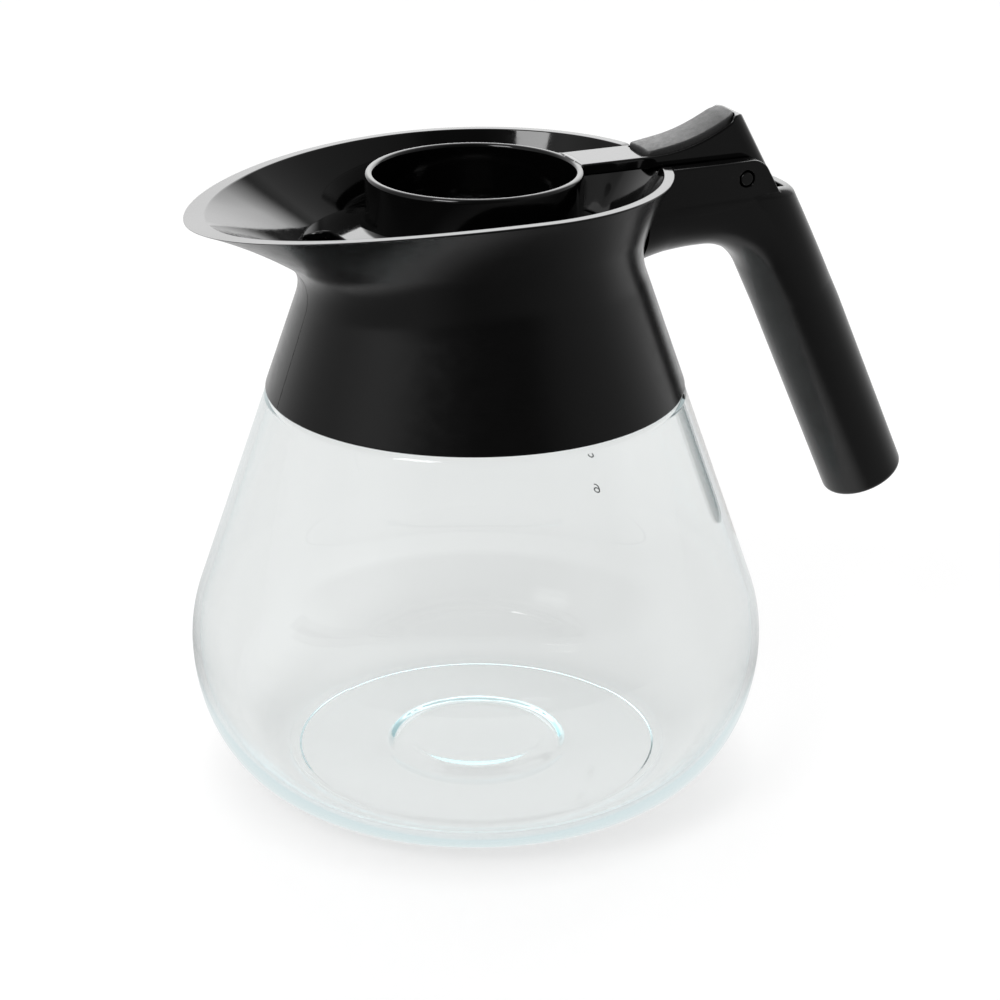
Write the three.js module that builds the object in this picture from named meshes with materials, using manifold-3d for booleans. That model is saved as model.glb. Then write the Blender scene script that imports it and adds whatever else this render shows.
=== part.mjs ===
// Glass coffee carafe: a blown glass bowl in a black pouring collar, with a handle at the back and a
// hinged brew-through lid that a thumb lever lifts.
// Millimetres, +Z up, standing on z = 0. The handle points along +X and the spout along -X, and the
// carafe is its own mirror image about the XZ plane. Shapes are drawn about the axis of the bowl.
import * as THREE from 'three';
import { mergeVertices } from 'three/addons/utils/BufferGeometryUtils.js';
import Module from 'manifold-3d';

const wasm = await Module();
wasm.setup();

// Fits and facets
const seatGap = 0.3; // between pieces that bear on each other
const runGap = 0.7; // between pieces that turn past each other
const cutPast = 5; // how far a cutting shape runs past the face that it opens
const cutSpan = 150; // reach of a cutting shape that must pass the whole piece
const turnedSides = 40; // facets round a turned piece
const collarSides = 52; // sections round the collar
const tubeSides = 24; // facets round the grip
const bendSteps = 20; // sections along the bridge
const curveSteps = 8; // points along a drawn curve
const glassSteps = 5; // points along each curve of the glass
const waistSteps = 6; // points along the rounding at the waist
const sectionSteps = 4; // points along a rounding of a section

// Glass bowl
const footRadius = 54; // outer edge of the flat ring that it stands on
const bellyRadius = 82;
const bellyHeight = 40.3;
const shoulderRadius = 45.2; // arc from the belly into the straight cone
const coneAngle = THREE.MathUtils.degToRad(19.25); // cone of the bowl and of the skirt, off the vertical
const glassWall = 2.2;
const baseThickness = 3.6;
const pushUpRadius = 27; // raised centre of the base: at its foot
const pushUpTopRadius = 22.5;
const pushUpHeight = 4.5;
const stepBelow = 4.1; // the glass begins to step in this far below the skirt's edge
const stepAbove = 2.4; // and has reached the neck this far above it

// Collar: the skirt over the glass neck
const skirtFoot = 114.6; // height of the skirt's lower edge
const skirtProud = 0.4; // the skirt stands this much outside the bowl's cone
const skirtWall = 2.7;
const skirtEdge = 1.6; // rounding of the lower edge
const skirtHeight = 37.8; // lower edge to the waist
const waistSlant = 1.6; // the waist is this much higher at the handle and lower at the spout
const waistBlend = 8.2; // length of the rounding at the waist, each way
const waistBlendSwing = 2.2; // longer by this under the spout, shorter at the handle

// Collar: the pouring funnel
const funnelHeight = 22.8; // waist to rim, at the sides
const funnelWall = 2.9;
const sideFlare = 6; // the rim stands out from the waist by this much at the sides
const backFlare = 9.5; // at the handle
const spoutFlare = 35.9; // and at the tip of the spout
const spoutRoundness = 1.92; // of the rim toward the spout; 2 would be half an ellipse
const rimDip = 5.5; // the rim is lower by this much at the tip of the spout
const rimEdge = 0.7; // bevel of the rim's outer edge
const throatFlange = 2.4; // inward flange over the glass lip: its width
const flangeThickness = 2.6;
const flangeDrop = 4.1; // top of the flange below the waist

// Seals
const neckGap = 2; // between the glass neck and the inside of the skirt
const gasketThickness = 1.6;
const sealHeight = 10;
const sealAboveFoot = 4;

// Hinge
const pinBehindRim = 22.4; // hinge axis behind the rim
const pinBelowRim = 6.8;
const pinRadius = 2;
const pinEdge = 0.4;

// Handle
const gripRadius = 12.2; // also half the width of the bridge
const gripWall = 2.8;
const gripTilt = THREE.MathUtils.degToRad(23.9); // off the vertical
const gripLength = 104; // from the ledge at its top, along the axis
const gripEndRound = 1.6;
const gripBehindPin = 7.6; // axis of the grip at the height of the ledge
const ledgeBelowPin = 5.2; // flat top of the grip behind the lever
const bridgeBelowPin = 8; // centre of the bridge's rounded underside
const bridgeArch = 3.9; // the bridge comes down by this much where it goes into the collar
const bendRadius = 29; // of the bridge's centre line into the grip
const cheekAbovePin = 5.1; // top of the two cheeks
const cheekBehindPin = 7.2; // sloping rear edge of the cheeks, square to its slope
const cheekCorner = 4;
const cheekEdge = 0.6; // bevel of the cheeks' long edges
const plugLength = 7;

// Lid: ring, floor and the falling disc round it
const ringRadius = 29.9;
const ringWall = 2.2;
const ringAboveRim = 1.4;
const ringFillet = 1.5;
const discBelowRim = 12.9; // top of the disc at the foot of the ring
const discFall = 4.3; // the disc falls by this much to its edge
const discThickness = 2.2;
const discRadius = 43.3;
const discShift = 4.4; // the disc's round edge is centred this far toward the spout
const discGap = 0.8; // from the disc's edge to the funnel where that is narrower
const floorBelowDisc = 5; // floor inside the ring
const dripHoleRadius = 8;
const dripFall = 3.6; // the floor falls by this much to its drip hole

// Lid: the notch in the disc that lets the coffee out to the spout
const notchHalfWidth = 18.5;
const notchFromAxis = 37.1; // its inner edge
const notchCorner = 6;

// Lid: arm and thumb lever
const leverHalfWidth = 7.1;
const leverBack = 9.8; // rear face, square from the hinge axis
const leverTilt = THREE.MathUtils.degToRad(28.6); // rear face, leaning forward
const leverHeel = 4.8; // the rear face ends this far below the foot of that square
const leverCorner = 4.5; // upright rounding from the sides into the rear face
const leverCrest = 3; // rounding of the rear face into the hollow, each way
const hubRadius = 7;
const heelRoomBelow = 2.4; // free space round the turning heel
const heelRoomBehind = 3.2;
const thumbRadius = 46; // hollow for the thumb
const thumbBeforeRim = 4.9; // the hollow starts this far inside the rim
const padProud = 1.4; // the pad stands out of the hollow
const padSunk = 0.8; // and is let into it
const padHalfWidth = 6.2;
const padLead = 1; // the pad starts this far before the hollow
const padLand = 2.4; // and ends this far before the crest
const padFrontCorner = 1.2;
const padRearCorner = 3.6;

// Places that follow from the sizes
const coneTaper = Math.tan(coneAngle);
const coneFootRadius = bellyRadius - shoulderRadius * (1 - Math.cos(coneAngle));
const coneFootHeight = bellyHeight + shoulderRadius * Math.sin(coneAngle);
const waistHeight = skirtFoot + skirtHeight;
const rimHeight = waistHeight + funnelHeight;
const bowlCone = (z) => coneFootRadius - coneTaper * (z - coneFootHeight);
const skirtRadius = (z) => bowlCone(z) + skirtProud;
const skirtInside = (z) => skirtRadius(z) - skirtWall;
const neckRadius = (z) => skirtInside(z) - neckGap;
const waistRadius = skirtRadius(waistHeight);
const rimHalfWidth = waistRadius + sideFlare;
const rimBack = waistRadius + backFlare;
const spoutReach = waistRadius + spoutFlare;
const rimZ = (x) => rimHeight - rimDip * (x / spoutReach) ** 2;
const flangeTop = waistHeight - flangeDrop;
const flangeUnder = flangeTop - flangeThickness;
const throatRadius = waistRadius - funnelWall;
const mouthHeight = flangeUnder - gasketThickness - 2 * seatGap;
const pinX = rimBack + pinBehindRim;
const pinZ = rimHeight - pinBelowRim;
const ledgeZ = pinZ - ledgeBelowPin;
const ringTop = rimHeight + ringAboveRim;
const discTop = rimHeight - discBelowRim;
const discEdgeTop = discTop - discFall;
const floorTop = discTop - floorBelowDisc;
const rimFaceBack = (funnelWall * Math.hypot(backFlare, funnelHeight)) / funnelHeight;
const armUnder = rimZ(rimBack - rimFaceBack) + seatGap;
const pinBore = pinRadius + seatGap;
const channelHalfWidth = leverHalfWidth + runGap;
const heelRadius = Math.hypot(leverBack, leverHeel);
const hollowX = rimBack - thumbBeforeRim;
const hollowZ = ringTop + thumbRadius;

// Merges shared corners, drops collapsed faces and turns the faces outward.
function closedMesh(source) {
  const bare = source.clone();
  for (const name of Object.keys(bare.attributes)) {
    if (name !== 'position') bare.deleteAttribute(name);
  }
  const merged = mergeVertices(bare, 1e-4);
  const place = merged.attributes.position;
  const corner = (i) => new THREE.Vector3().fromBufferAttribute(place, i);
  let faces = [];
  let volume = 0;
  for (let i = 0; i < merged.index.count; i += 3) {
    const [a, b, c] = [0, 1, 2].map((k) => merged.index.getX(i + k));
    if (a === b || b === c || c === a) continue;
    faces.push([a, b, c]);
    volume += corner(a).dot(corner(b).cross(corner(c)));
  }
  if (volume < 0) faces = faces.map(([a, b, c]) => [a, c, b]);
  merged.setIndex(faces.flat());
  return merged;
}

// Solids for joining and cutting, and back again.
function solid(geometry) {
  const mesh = closedMesh(geometry);
  const vertProperties = new Float32Array(mesh.attributes.position.array);
  const triVerts = new Uint32Array(mesh.index.array);
  return new wasm.Manifold(new wasm.Mesh({ numProp: 3, vertProperties, triVerts }));
}

function fromSolid(body) {
  const mesh = body.getMesh();
  const geometry = new THREE.BufferGeometry();
  geometry.setAttribute('position', new THREE.BufferAttribute(mesh.vertProperties.slice(), 3));
  geometry.setIndex(new THREE.BufferAttribute(mesh.triVerts.slice(), 1));
  return geometry;
}

// Turns a profile of (radius, height) points round the Z axis.
function turned(profile, sides = turnedSides) {
  return new THREE.LatheGeometry(profile, sides).rotateX(Math.PI / 2);
}

const closedLoop = (points) => [...points, points[0].clone()];

// Extrudes an outline drawn in X and Z across Y, to the same width each side of the middle.
function across(outline, halfWidth, bevel = 0) {
  const geometry = new THREE.ExtrudeGeometry(outline, {
    depth: 2 * (halfWidth - bevel),
    curveSegments: curveSteps,
    bevelEnabled: bevel > 0,
    bevelThickness: bevel,
    bevelSize: bevel,
    bevelOffset: -bevel,
    bevelSegments: 2,
  });
  return geometry.translate(0, 0, bevel - halfWidth).rotateX(Math.PI / 2);
}

// Joins rows of points into a skin. Rows close on themselves; the stack of rows either closes into a
// ring, or is capped at both ends.
function skin(rows, ring) {
  const count = rows[0].length;
  const points = rows.flat();
  const faces = [];
  const last = ring ? rows.length : rows.length - 1;
  for (let j = 0; j < last; j += 1) {
    for (let i = 0; i < count; i += 1) {
      const a = j * count + i;
      const b = j * count + ((i + 1) % count);
      const c = ((j + 1) % rows.length) * count + i;
      const d = ((j + 1) % rows.length) * count + ((i + 1) % count);
      faces.push(a, b, d, a, d, c);
    }
  }
  if (!ring) {
    for (const [row, first, flip] of [[rows[0], 0, true], [rows.at(-1), (rows.length - 1) * count, false]]) {
      const middle = row.reduce((sum, p) => sum.add(p), new THREE.Vector3()).divideScalar(count);
      const hub = points.push(middle) - 1;
      for (let i = 0; i < count; i += 1) {
        const a = first + i;
        const b = first + ((i + 1) % count);
        faces.push(hub, flip ? b : a, flip ? a : b);
      }
    }
  }
  const geometry = new THREE.BufferGeometry().setFromPoints(points);
  return geometry.setIndex(faces);
}

// Points of the glass from the middle of its underside, over the belly, up to the lip of the neck.
function glassOutside() {
  const stepFoot = skirtFoot - stepBelow;
  const stepTop = skirtFoot + stepAbove;
  const stepReach = (stepTop - stepFoot) / 2;
  const rise = new THREE.Vector2(-Math.sin(coneAngle), Math.cos(coneAngle)).multiplyScalar(stepReach);
  const foot = new THREE.Vector2(bowlCone(stepFoot), stepFoot);
  const neck = new THREE.Vector2(neckRadius(stepTop), stepTop);
  const pushUpSlope = pushUpRadius - pushUpTopRadius;
  const path = new THREE.Path();
  path.moveTo(0, pushUpHeight);
  path.lineTo(pushUpTopRadius, pushUpHeight);
  path.bezierCurveTo(
    pushUpTopRadius + pushUpSlope / 2, pushUpHeight,
    pushUpRadius - pushUpSlope / 2, 0,
    pushUpRadius, 0,
  );
  path.lineTo(footRadius, 0);
  path.absellipse(footRadius, bellyHeight, bellyRadius - footRadius, bellyHeight, -Math.PI / 2, 0, false);
  path.absarc(bellyRadius - shoulderRadius, bellyHeight, shoulderRadius, 0, coneAngle, false);
  path.lineTo(foot.x, foot.y);
  path.bezierCurveTo(
    foot.x + rise.x, foot.y + rise.y,
    neck.x - rise.x, neck.y - rise.y,
    neck.x, neck.y,
  );
  path.lineTo(neckRadius(mouthHeight), mouthHeight - glassWall / 2);
  return path.getPoints(glassSteps);
}

// The inside of the glass: the outside moved in by the wall, which thickens toward the base.
function glassInside(outside) {
  return outside.map((point, i) => {
    const before = outside[Math.max(i - 1, 0)];
    const after = outside[Math.min(i + 1, outside.length - 1)];
    const along = after.clone().sub(before).normalize();
    const depth = Math.max(0, 1 - point.y / bellyHeight);
    const wall = glassWall + (baseThickness - glassWall) * depth ** 2;
    const moved = new THREE.Vector2(point.x - along.y * wall, point.y + along.x * wall);
    return point.x === 0 ? new THREE.Vector2(0, point.y + wall) : moved;
  });
}

function glassBowl() {
  const outside = glassOutside();
  const inside = glassInside(outside);
  const lip = outside.at(-1).clone().lerp(inside.at(-1), 0.5);
  lip.y = mouthHeight;
  return turned([...outside, lip, ...inside.reverse()]);
}

// Distance of the rim's outer edge from the axis, in a direction about it: half an ellipse at the handle
// and a slightly pointed half toward the spout.
function rimRadius(angle) {
  const towardSpout = Math.cos(angle) < 0;
  const half = towardSpout ? spoutReach : rimBack;
  const power = towardSpout ? spoutRoundness : 2;
  const along = Math.abs(Math.cos(angle)) / half;
  const aside = Math.abs(Math.sin(angle)) / rimHalfWidth;
  return (along ** power + aside ** power) ** (-1 / power);
}

// Where the skirt's cone and the funnel's straight wall would meet, and the two directions there.
function waistCorner(angle) {
  const z = waistHeight + waistSlant * Math.cos(angle);
  const corner = new THREE.Vector2(skirtRadius(z), z);
  const r = rimRadius(angle);
  const rim = new THREE.Vector2(r, rimZ(r * Math.cos(angle)));
  const upSkirt = new THREE.Vector2(-Math.sin(coneAngle), Math.cos(coneAngle));
  const upFunnel = rim.clone().sub(corner).normalize();
  return { corner, rim, upSkirt, upFunnel };
}

// Outside of the collar in one direction, from the skirt's lower edge to the rim.
function collarOutside(angle) {
  const { corner, rim, upSkirt, upFunnel } = waistCorner(angle);
  const blend = waistBlend - waistBlendSwing * Math.cos(angle);
  const edgeTop = skirtFoot + skirtEdge;
  const edgePull = skirtEdge * (1 - Math.SQRT1_2);
  const waist = new THREE.QuadraticBezierCurve(
    corner.clone().addScaledVector(upSkirt, -blend),
    corner,
    corner.clone().addScaledVector(upFunnel, blend),
  );
  return [
    new THREE.Vector2(skirtRadius(skirtFoot) - skirtEdge, skirtFoot),
    new THREE.Vector2(skirtRadius(skirtFoot) - edgePull, skirtFoot + edgePull),
    new THREE.Vector2(skirtRadius(edgeTop), edgeTop),
    ...waist.getPoints(waistSteps),
    rim.clone().addScaledVector(upFunnel, -rimEdge),
  ];
}

// Inside of the collar in one direction, from the rim down the funnel, over the flange that covers the
// glass lip and down the skirt.
function collarInside(angle) {
  const { rim, upFunnel } = waistCorner(angle);
  const wallAcross = funnelWall / upFunnel.y;
  const inner = new THREE.Vector2(rim.x - wallAcross, rim.y);
  const fall = ((inner.x - throatRadius) * upFunnel.y) / upFunnel.x;
  const throat = new THREE.Vector2(throatRadius, Math.max(inner.y - fall, flangeTop + rimEdge));
  const flangeRadius = throatRadius - throatFlange;
  return [
    new THREE.Vector2(rim.x - rimEdge, rim.y),
    inner,
    inner.clone().lerp(throat, 0.5),
    throat,
    new THREE.Vector2(throatRadius, flangeTop),
    new THREE.Vector2(flangeRadius, flangeTop - rimEdge),
    new THREE.Vector2(flangeRadius, flangeUnder),
    new THREE.Vector2(skirtInside(flangeUnder), flangeUnder),
    new THREE.Vector2(skirtInside(skirtFoot), skirtFoot),
  ];
}

const directions = Array.from({ length: collarSides }, (_, i) => {
  const angle = (2 * Math.PI * i) / collarSides;
  return angle > Math.PI ? angle - 2 * Math.PI : angle;
});

const inSpace = (point, angle) =>
  new THREE.Vector3(point.x * Math.cos(angle), point.x * Math.sin(angle), point.y);

function collar() {
  const sections = directions.map((angle) =>
    [...collarOutside(angle), ...collarInside(angle)].map((point) => inSpace(point, angle)));
  return skin(sections, true);
}

// The room that the collar takes up, with a seat gap round it and run up past the rim.
function collarRoom() {
  const outlines = directions.map((angle) => {
    const outline = collarOutside(angle);
    const top = new THREE.Vector2(rimRadius(angle), outline.at(-1).y);
    return [...outline, top, new THREE.Vector2(top.x, rimHeight + cutPast)];
  });
  const rows = outlines[0].map((_, level) =>
    directions.map((angle, i) => {
      const point = outlines[i][level];
      return inSpace(new THREE.Vector2(point.x + seatGap, point.y), angle);
    }));
  return skin(rows, false);
}

function mouthGasket() {
  const under = mouthHeight + seatGap;
  const outer = skirtInside(under + gasketThickness) - seatGap;
  const inner = throatRadius - throatFlange + seatGap;
  const ring = [
    new THREE.Vector2(inner, under),
    new THREE.Vector2(outer, under),
    new THREE.Vector2(outer, under + gasketThickness),
    new THREE.Vector2(inner, under + gasketThickness),
  ];
  return turned(closedLoop(ring));
}

function skirtSeal() {
  const low = skirtFoot + sealAboveFoot;
  const high = low + sealHeight;
  const band = [
    new THREE.Vector2(neckRadius(low) + seatGap, low),
    new THREE.Vector2(skirtInside(low) - seatGap, low),
    new THREE.Vector2(skirtInside(high) - seatGap, high),
    new THREE.Vector2(neckRadius(high) + seatGap, high),
  ];
  return turned(closedLoop(band));
}

// Places a turned piece, drawn with the ledge at z = 0, on the slanting axis of the grip.
function onGrip(geometry) {
  return geometry.rotateY(-gripTilt).translate(pinX + gripBehindPin, 0, ledgeZ);
}

// The straight grip, run up past the ledge, with a rounded lower edge.
function gripRod() {
  const profile = new THREE.Path();
  profile.moveTo(0, -gripLength);
  profile.lineTo(gripRadius - gripEndRound, -gripLength);
  profile.absarc(gripRadius - gripEndRound, gripEndRound - gripLength, gripEndRound, -Math.PI / 2, 0, false);
  profile.lineTo(gripRadius, gripRadius);
  profile.lineTo(0, gripRadius);
  return onGrip(turned(profile.getPoints(sectionSteps), tubeSides));
}

// The bridge's rounded lower half: a rod that arches up out of the collar and bends down into the grip.
function bridgeRod() {
  const z = pinZ - bridgeBelowPin;
  const meet = pinX + gripBehindPin + (ledgeZ - z) * Math.tan(gripTilt);
  const turn = Math.PI / 2 - gripTilt;
  const bendX = meet - bendRadius * Math.tan(turn / 2);
  const centreLine = new THREE.Path();
  centreLine.moveTo(throatRadius, z - bridgeArch);
  centreLine.quadraticCurveTo((throatRadius + bendX) / 2, z, bendX, z);
  centreLine.absarc(bendX, z - bendRadius, bendRadius, Math.PI / 2, gripTilt, true);
  const route = centreLine.getPoints(curveSteps).map((p) => new THREE.Vector3(p.x, 0, p.y));
  const round = new THREE.Shape().absarc(0, 0, gripRadius, 0, 2 * Math.PI, false);
  return new THREE.ExtrudeGeometry(round, {
    steps: bendSteps,
    curveSegments: tubeSides / 2,
    extrudePath: new THREE.CatmullRomCurve3(route, false, 'centripetal'),
  });
}

// Side view of the bridge above the middle of its underside, with the cheeks' sloping rear edge.
function cheekOutline() {
  const top = pinZ + cheekAbovePin;
  const low = pinZ - bridgeBelowPin;
  const rearAt = (z) => pinX + (cheekBehindPin - (z - pinZ) * Math.sin(leverTilt)) / Math.cos(leverTilt);
  const outline = new THREE.Shape();
  outline.moveTo(throatRadius, low);
  outline.lineTo(rearAt(low), low);
  outline.lineTo(rearAt(top - cheekCorner / 2), top - cheekCorner / 2);
  outline.quadraticCurveTo(rearAt(top), top, rearAt(top) - cheekCorner, top);
  outline.lineTo(throatRadius, top);
  return outline;
}

// The channel between the cheeks, open at the top, in which the lever turns.
function channelOutline() {
  const low = pinZ - heelRadius - heelRoomBelow;
  const rear = pinX + heelRadius + heelRoomBehind;
  const top = pinZ + cheekAbovePin + cutPast;
  const outline = new THREE.Shape();
  outline.moveTo(throatRadius, low);
  outline.lineTo(rear - heelRoomBehind, low);
  outline.quadraticCurveTo(rear, low, rear, low + heelRoomBehind);
  outline.lineTo(rear, top);
  outline.lineTo(throatRadius, top);
  return outline;
}

function handle() {
  const aboveLedge = new THREE.BoxGeometry(cutSpan, cutSpan, cutSpan);
  aboveLedge.translate(pinX, 0, ledgeZ + cutSpan / 2);
  const boreTop = gripWall - gripRadius;
  const bore = turned([
    new THREE.Vector2(0, -gripLength - cutPast),
    new THREE.Vector2(gripRadius - gripWall, -gripLength - cutPast),
    new THREE.Vector2(gripRadius - gripWall, boreTop),
    new THREE.Vector2(0, boreTop),
  ], tubeSides);
  const pinHole = new THREE.CylinderGeometry(pinBore, pinBore, cutSpan, tubeSides / 2);
  const rods = solid(gripRod()).add(solid(bridgeRod()));
  const levelled = rods.subtract(solid(aboveLedge));
  const body = levelled.add(solid(across(cheekOutline(), gripRadius, cheekEdge)));
  const hollow = body
    .subtract(solid(across(channelOutline(), channelHalfWidth)))
    .subtract(solid(onGrip(bore)))
    .subtract(solid(pinHole.translate(pinX, 0, pinZ)));
  return fromSolid(hollow.subtract(solid(collarRoom())));
}

function gripEndPlug() {
  const radius = gripRadius - gripWall - seatGap;
  const outer = seatGap - gripLength;
  const profile = [
    new THREE.Vector2(0, outer),
    new THREE.Vector2(radius - pinEdge, outer),
    new THREE.Vector2(radius, outer + pinEdge),
    new THREE.Vector2(radius, outer + plugLength - pinEdge),
    new THREE.Vector2(radius - pinEdge, outer + plugLength),
    new THREE.Vector2(0, outer + plugLength),
  ];
  return onGrip(turned(profile, tubeSides));
}

function hingePin() {
  const half = gripRadius - seatGap;
  const profile = [
    new THREE.Vector2(0, -half),
    new THREE.Vector2(pinRadius - pinEdge, -half),
    new THREE.Vector2(pinRadius, pinEdge - half),
    new THREE.Vector2(pinRadius, half - pinEdge),
    new THREE.Vector2(pinRadius - pinEdge, half),
    new THREE.Vector2(0, half),
  ];
  return new THREE.LatheGeometry(profile, tubeSides / 2).translate(pinX, 0, pinZ);
}

// Inside radius of the funnel in one direction, at a height.
function funnelInside(angle, z) {
  const { rim, upFunnel } = waistCorner(angle);
  return rim.x - funnelWall / upFunnel.y - ((rim.y - z) * upFunnel.x) / upFunnel.y;
}

// Distance of the disc's edge from the axis of the ring, at a height: a circle of its own, and clear of
// the funnel where that is narrower.
function discEdge(angle, z) {
  const aside = discShift * Math.sin(angle);
  const circle = Math.sqrt(discRadius ** 2 - aside ** 2) - discShift * Math.cos(angle);
  return Math.min(circle, funnelInside(angle, z) - discGap);
}

// Section of the ring, its floor and the disc in one direction.
function lidSection(angle) {
  const inside = ringRadius - ringWall;
  const crown = ringWall / 2;
  const edge = discEdge(angle, discEdgeTop);
  const filletFall = (discFall * ringFillet) / (edge - ringRadius);
  const profile = new THREE.Path();
  profile.moveTo(dripHoleRadius, floorTop - dripFall);
  profile.lineTo(inside - ringFillet, floorTop);
  profile.lineTo(inside, floorTop + ringFillet);
  profile.lineTo(inside, ringTop - crown);
  profile.absarc(ringRadius - crown, ringTop - crown, crown, Math.PI, 0, true);
  profile.lineTo(ringRadius, discTop + ringFillet);
  profile.quadraticCurveTo(ringRadius, discTop, ringRadius + ringFillet, discTop - filletFall);
  profile.lineTo(edge - rimEdge, discEdgeTop);
  profile.lineTo(discEdge(angle, discEdgeTop - rimEdge), discEdgeTop - rimEdge);
  profile.lineTo(discEdge(angle, discEdgeTop - discThickness), discEdgeTop - discThickness);
  profile.lineTo(ringRadius, discTop - discThickness);
  profile.lineTo(ringRadius, floorTop - discThickness);
  profile.lineTo(dripHoleRadius, floorTop - dripFall - discThickness);
  return profile.getPoints(sectionSteps);
}

function lidRound() {
  const sections = directions.map((angle) => lidSection(angle).map((point) => inSpace(point, angle)));
  return skin(sections, true);
}

// A rectangle in plan with its own rounding at each end, drawn upright through the given heights.
function planBlock(x0, x1, halfWidth, round0, round1, low, high) {
  const plan = new THREE.Shape();
  plan.moveTo(x0 + round0, -halfWidth);
  plan.lineTo(x1 - round1, -halfWidth);
  plan.absarc(x1 - round1, round1 - halfWidth, round1, -Math.PI / 2, 0, false);
  plan.lineTo(x1, halfWidth - round1);
  plan.absarc(x1 - round1, halfWidth - round1, round1, 0, Math.PI / 2, false);
  plan.lineTo(x0 + round0, halfWidth);
  plan.absarc(x0 + round0, halfWidth - round0, round0, Math.PI / 2, Math.PI, false);
  plan.lineTo(x0, round0 - halfWidth);
  plan.absarc(x0 + round0, round0 - halfWidth, round0, Math.PI, 1.5 * Math.PI, false);
  const options = { depth: high - low, curveSegments: curveSteps, bevelEnabled: false };
  return new THREE.ExtrudeGeometry(plan, options).translate(0, 0, low);
}

// The lever's rear face in side view, and where it would meet the hollow for the thumb.
const leverSquare = new THREE.Vector2(Math.cos(leverTilt), Math.sin(leverTilt));
const leverUp = new THREE.Vector2(-leverSquare.y, leverSquare.x);
const onBack = (s) =>
  new THREE.Vector2(pinX, pinZ).addScaledVector(leverSquare, leverBack).addScaledVector(leverUp, s);

function crestOnBack() {
  const toBack = onBack(0).sub(new THREE.Vector2(hollowX, hollowZ));
  const along = toBack.dot(leverUp);
  return -along - Math.sqrt(along ** 2 - toBack.lengthSq() + thumbRadius ** 2);
}

const crestHeight = crestOnBack();
const crestAngle = Math.asin((onBack(crestHeight).x - hollowX) / thumbRadius);

// Side view of the arm over the rim and of the lever with its hollow for the thumb.
function leverOutline() {
  const heel = onBack(-leverHeel);
  const shoulder = onBack(crestHeight - leverCrest);
  const crest = onBack(crestHeight);
  const hollowEnd = crestAngle - leverCrest / thumbRadius - Math.PI / 2;
  const root = ringRadius - ringWall / 2;
  const outline = new THREE.Shape();
  outline.moveTo(root, armUnder);
  outline.lineTo(pinX - 2 * hubRadius, armUnder);
  outline.quadraticCurveTo(pinX - hubRadius, armUnder, pinX - hubRadius, pinZ);
  outline.absarc(pinX, pinZ, hubRadius, Math.PI, 1.5 * Math.PI, false);
  outline.quadraticCurveTo(heel.x, pinZ - hubRadius, heel.x, heel.y);
  outline.lineTo(shoulder.x, shoulder.y);
  outline.quadraticCurveTo(
    crest.x, crest.y,
    hollowX + thumbRadius * Math.cos(hollowEnd), hollowZ + thumbRadius * Math.sin(hollowEnd),
  );
  outline.absarc(hollowX, hollowZ, thumbRadius, hollowEnd, -Math.PI / 2, true);
  outline.lineTo(root, ringTop);
  return outline;
}

// The arm and lever, rounded upright along the two rear corners.
function lever() {
  const round = planBlock(-cutSpan, leverBack, leverHalfWidth, 0, leverCorner, -cutSpan, cutSpan);
  round.rotateY(-leverTilt).translate(pinX, 0, pinZ);
  return solid(across(leverOutline(), leverHalfWidth + cutPast)).intersect(solid(round));
}

// The pad's place in the hollow, between two depths from its surface and grown by a gap in plan.
function padBlock(below, above, gap) {
  const rear = crestAngle - padLand / thumbRadius - Math.PI / 2;
  const front = -Math.PI / 2 - padLead / thumbRadius;
  const margin = cutPast / thumbRadius;
  const band = new THREE.Shape();
  band.absarc(hollowX, hollowZ, thumbRadius + below, front - margin, rear + margin, false);
  band.absarc(hollowX, hollowZ, thumbRadius - above, rear + margin, front - margin, true);
  const plan = planBlock(
    hollowX - padLead - gap, hollowX + thumbRadius * Math.cos(rear) + gap, padHalfWidth + gap,
    padFrontCorner + gap, padRearCorner + gap, armUnder, hollowZ,
  );
  return solid(across(band, padHalfWidth + cutPast)).intersect(solid(plan));
}

function lid() {
  const pinHole = new THREE.CylinderGeometry(pinBore, pinBore, cutSpan, tubeSides / 2);
  const ringBore = turned([
    new THREE.Vector2(0, discTop),
    new THREE.Vector2(ringRadius - ringWall, discTop),
    new THREE.Vector2(ringRadius - ringWall, ringTop + cutPast),
    new THREE.Vector2(0, ringTop + cutPast),
  ], collarSides);
  const notch = planBlock(-spoutReach, -notchFromAxis, notchHalfWidth, 0, notchCorner, flangeTop, rimHeight);
  const round = solid(lidRound()).subtract(solid(notch));
  return fromSolid(round
    .add(lever().subtract(solid(ringBore)))
    .subtract(padBlock(padSunk, cutPast, seatGap))
    .subtract(solid(pinHole.translate(pinX, 0, pinZ))));
}

// The soft pad is let into the hollow of the lever.
function thumbPad() {
  return fromSolid(padBlock(padSunk - seatGap, padProud, 0));
}

// Materials: clear glass, black plastic, soft grey pad and translucent silicone.
const glass = { color: 0xe9f0f0, roughness: 0.03, metalness: 0, transparent: true, opacity: 0.3 };
const satinBlack = { color: 0x1c1c1c, roughness: 0.45, metalness: 0 };
const glossBlack = { color: 0x141414, roughness: 0.2, metalness: 0 };
const softGrey = { color: 0x3a3a3a, roughness: 0.8, metalness: 0 };
const silicone = { color: 0xd8d8d4, roughness: 0.6, metalness: 0 };

const pieces = [
  ['glass_bowl', glassBowl(), glass],
  ['mouth_gasket', mouthGasket(), silicone],
  ['skirt_seal', skirtSeal(), silicone],
  ['collar', collar(), satinBlack],
  ['handle', handle(), satinBlack],
  ['grip_end_plug', gripEndPlug(), satinBlack],
  ['hinge_pin', hingePin(), satinBlack],
  ['lid', lid(), glossBlack],
  ['thumb_pad', thumbPad(), softGrey],
];

const carafe = new THREE.Group();
for (const [name, geometry, finish] of pieces) {
  const shape = closedMesh(geometry);
  shape.computeVertexNormals();
  const mesh = new THREE.Mesh(shape, new THREE.MeshStandardMaterial(finish));
  mesh.name = name;
  carafe.add(mesh);
}

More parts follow.
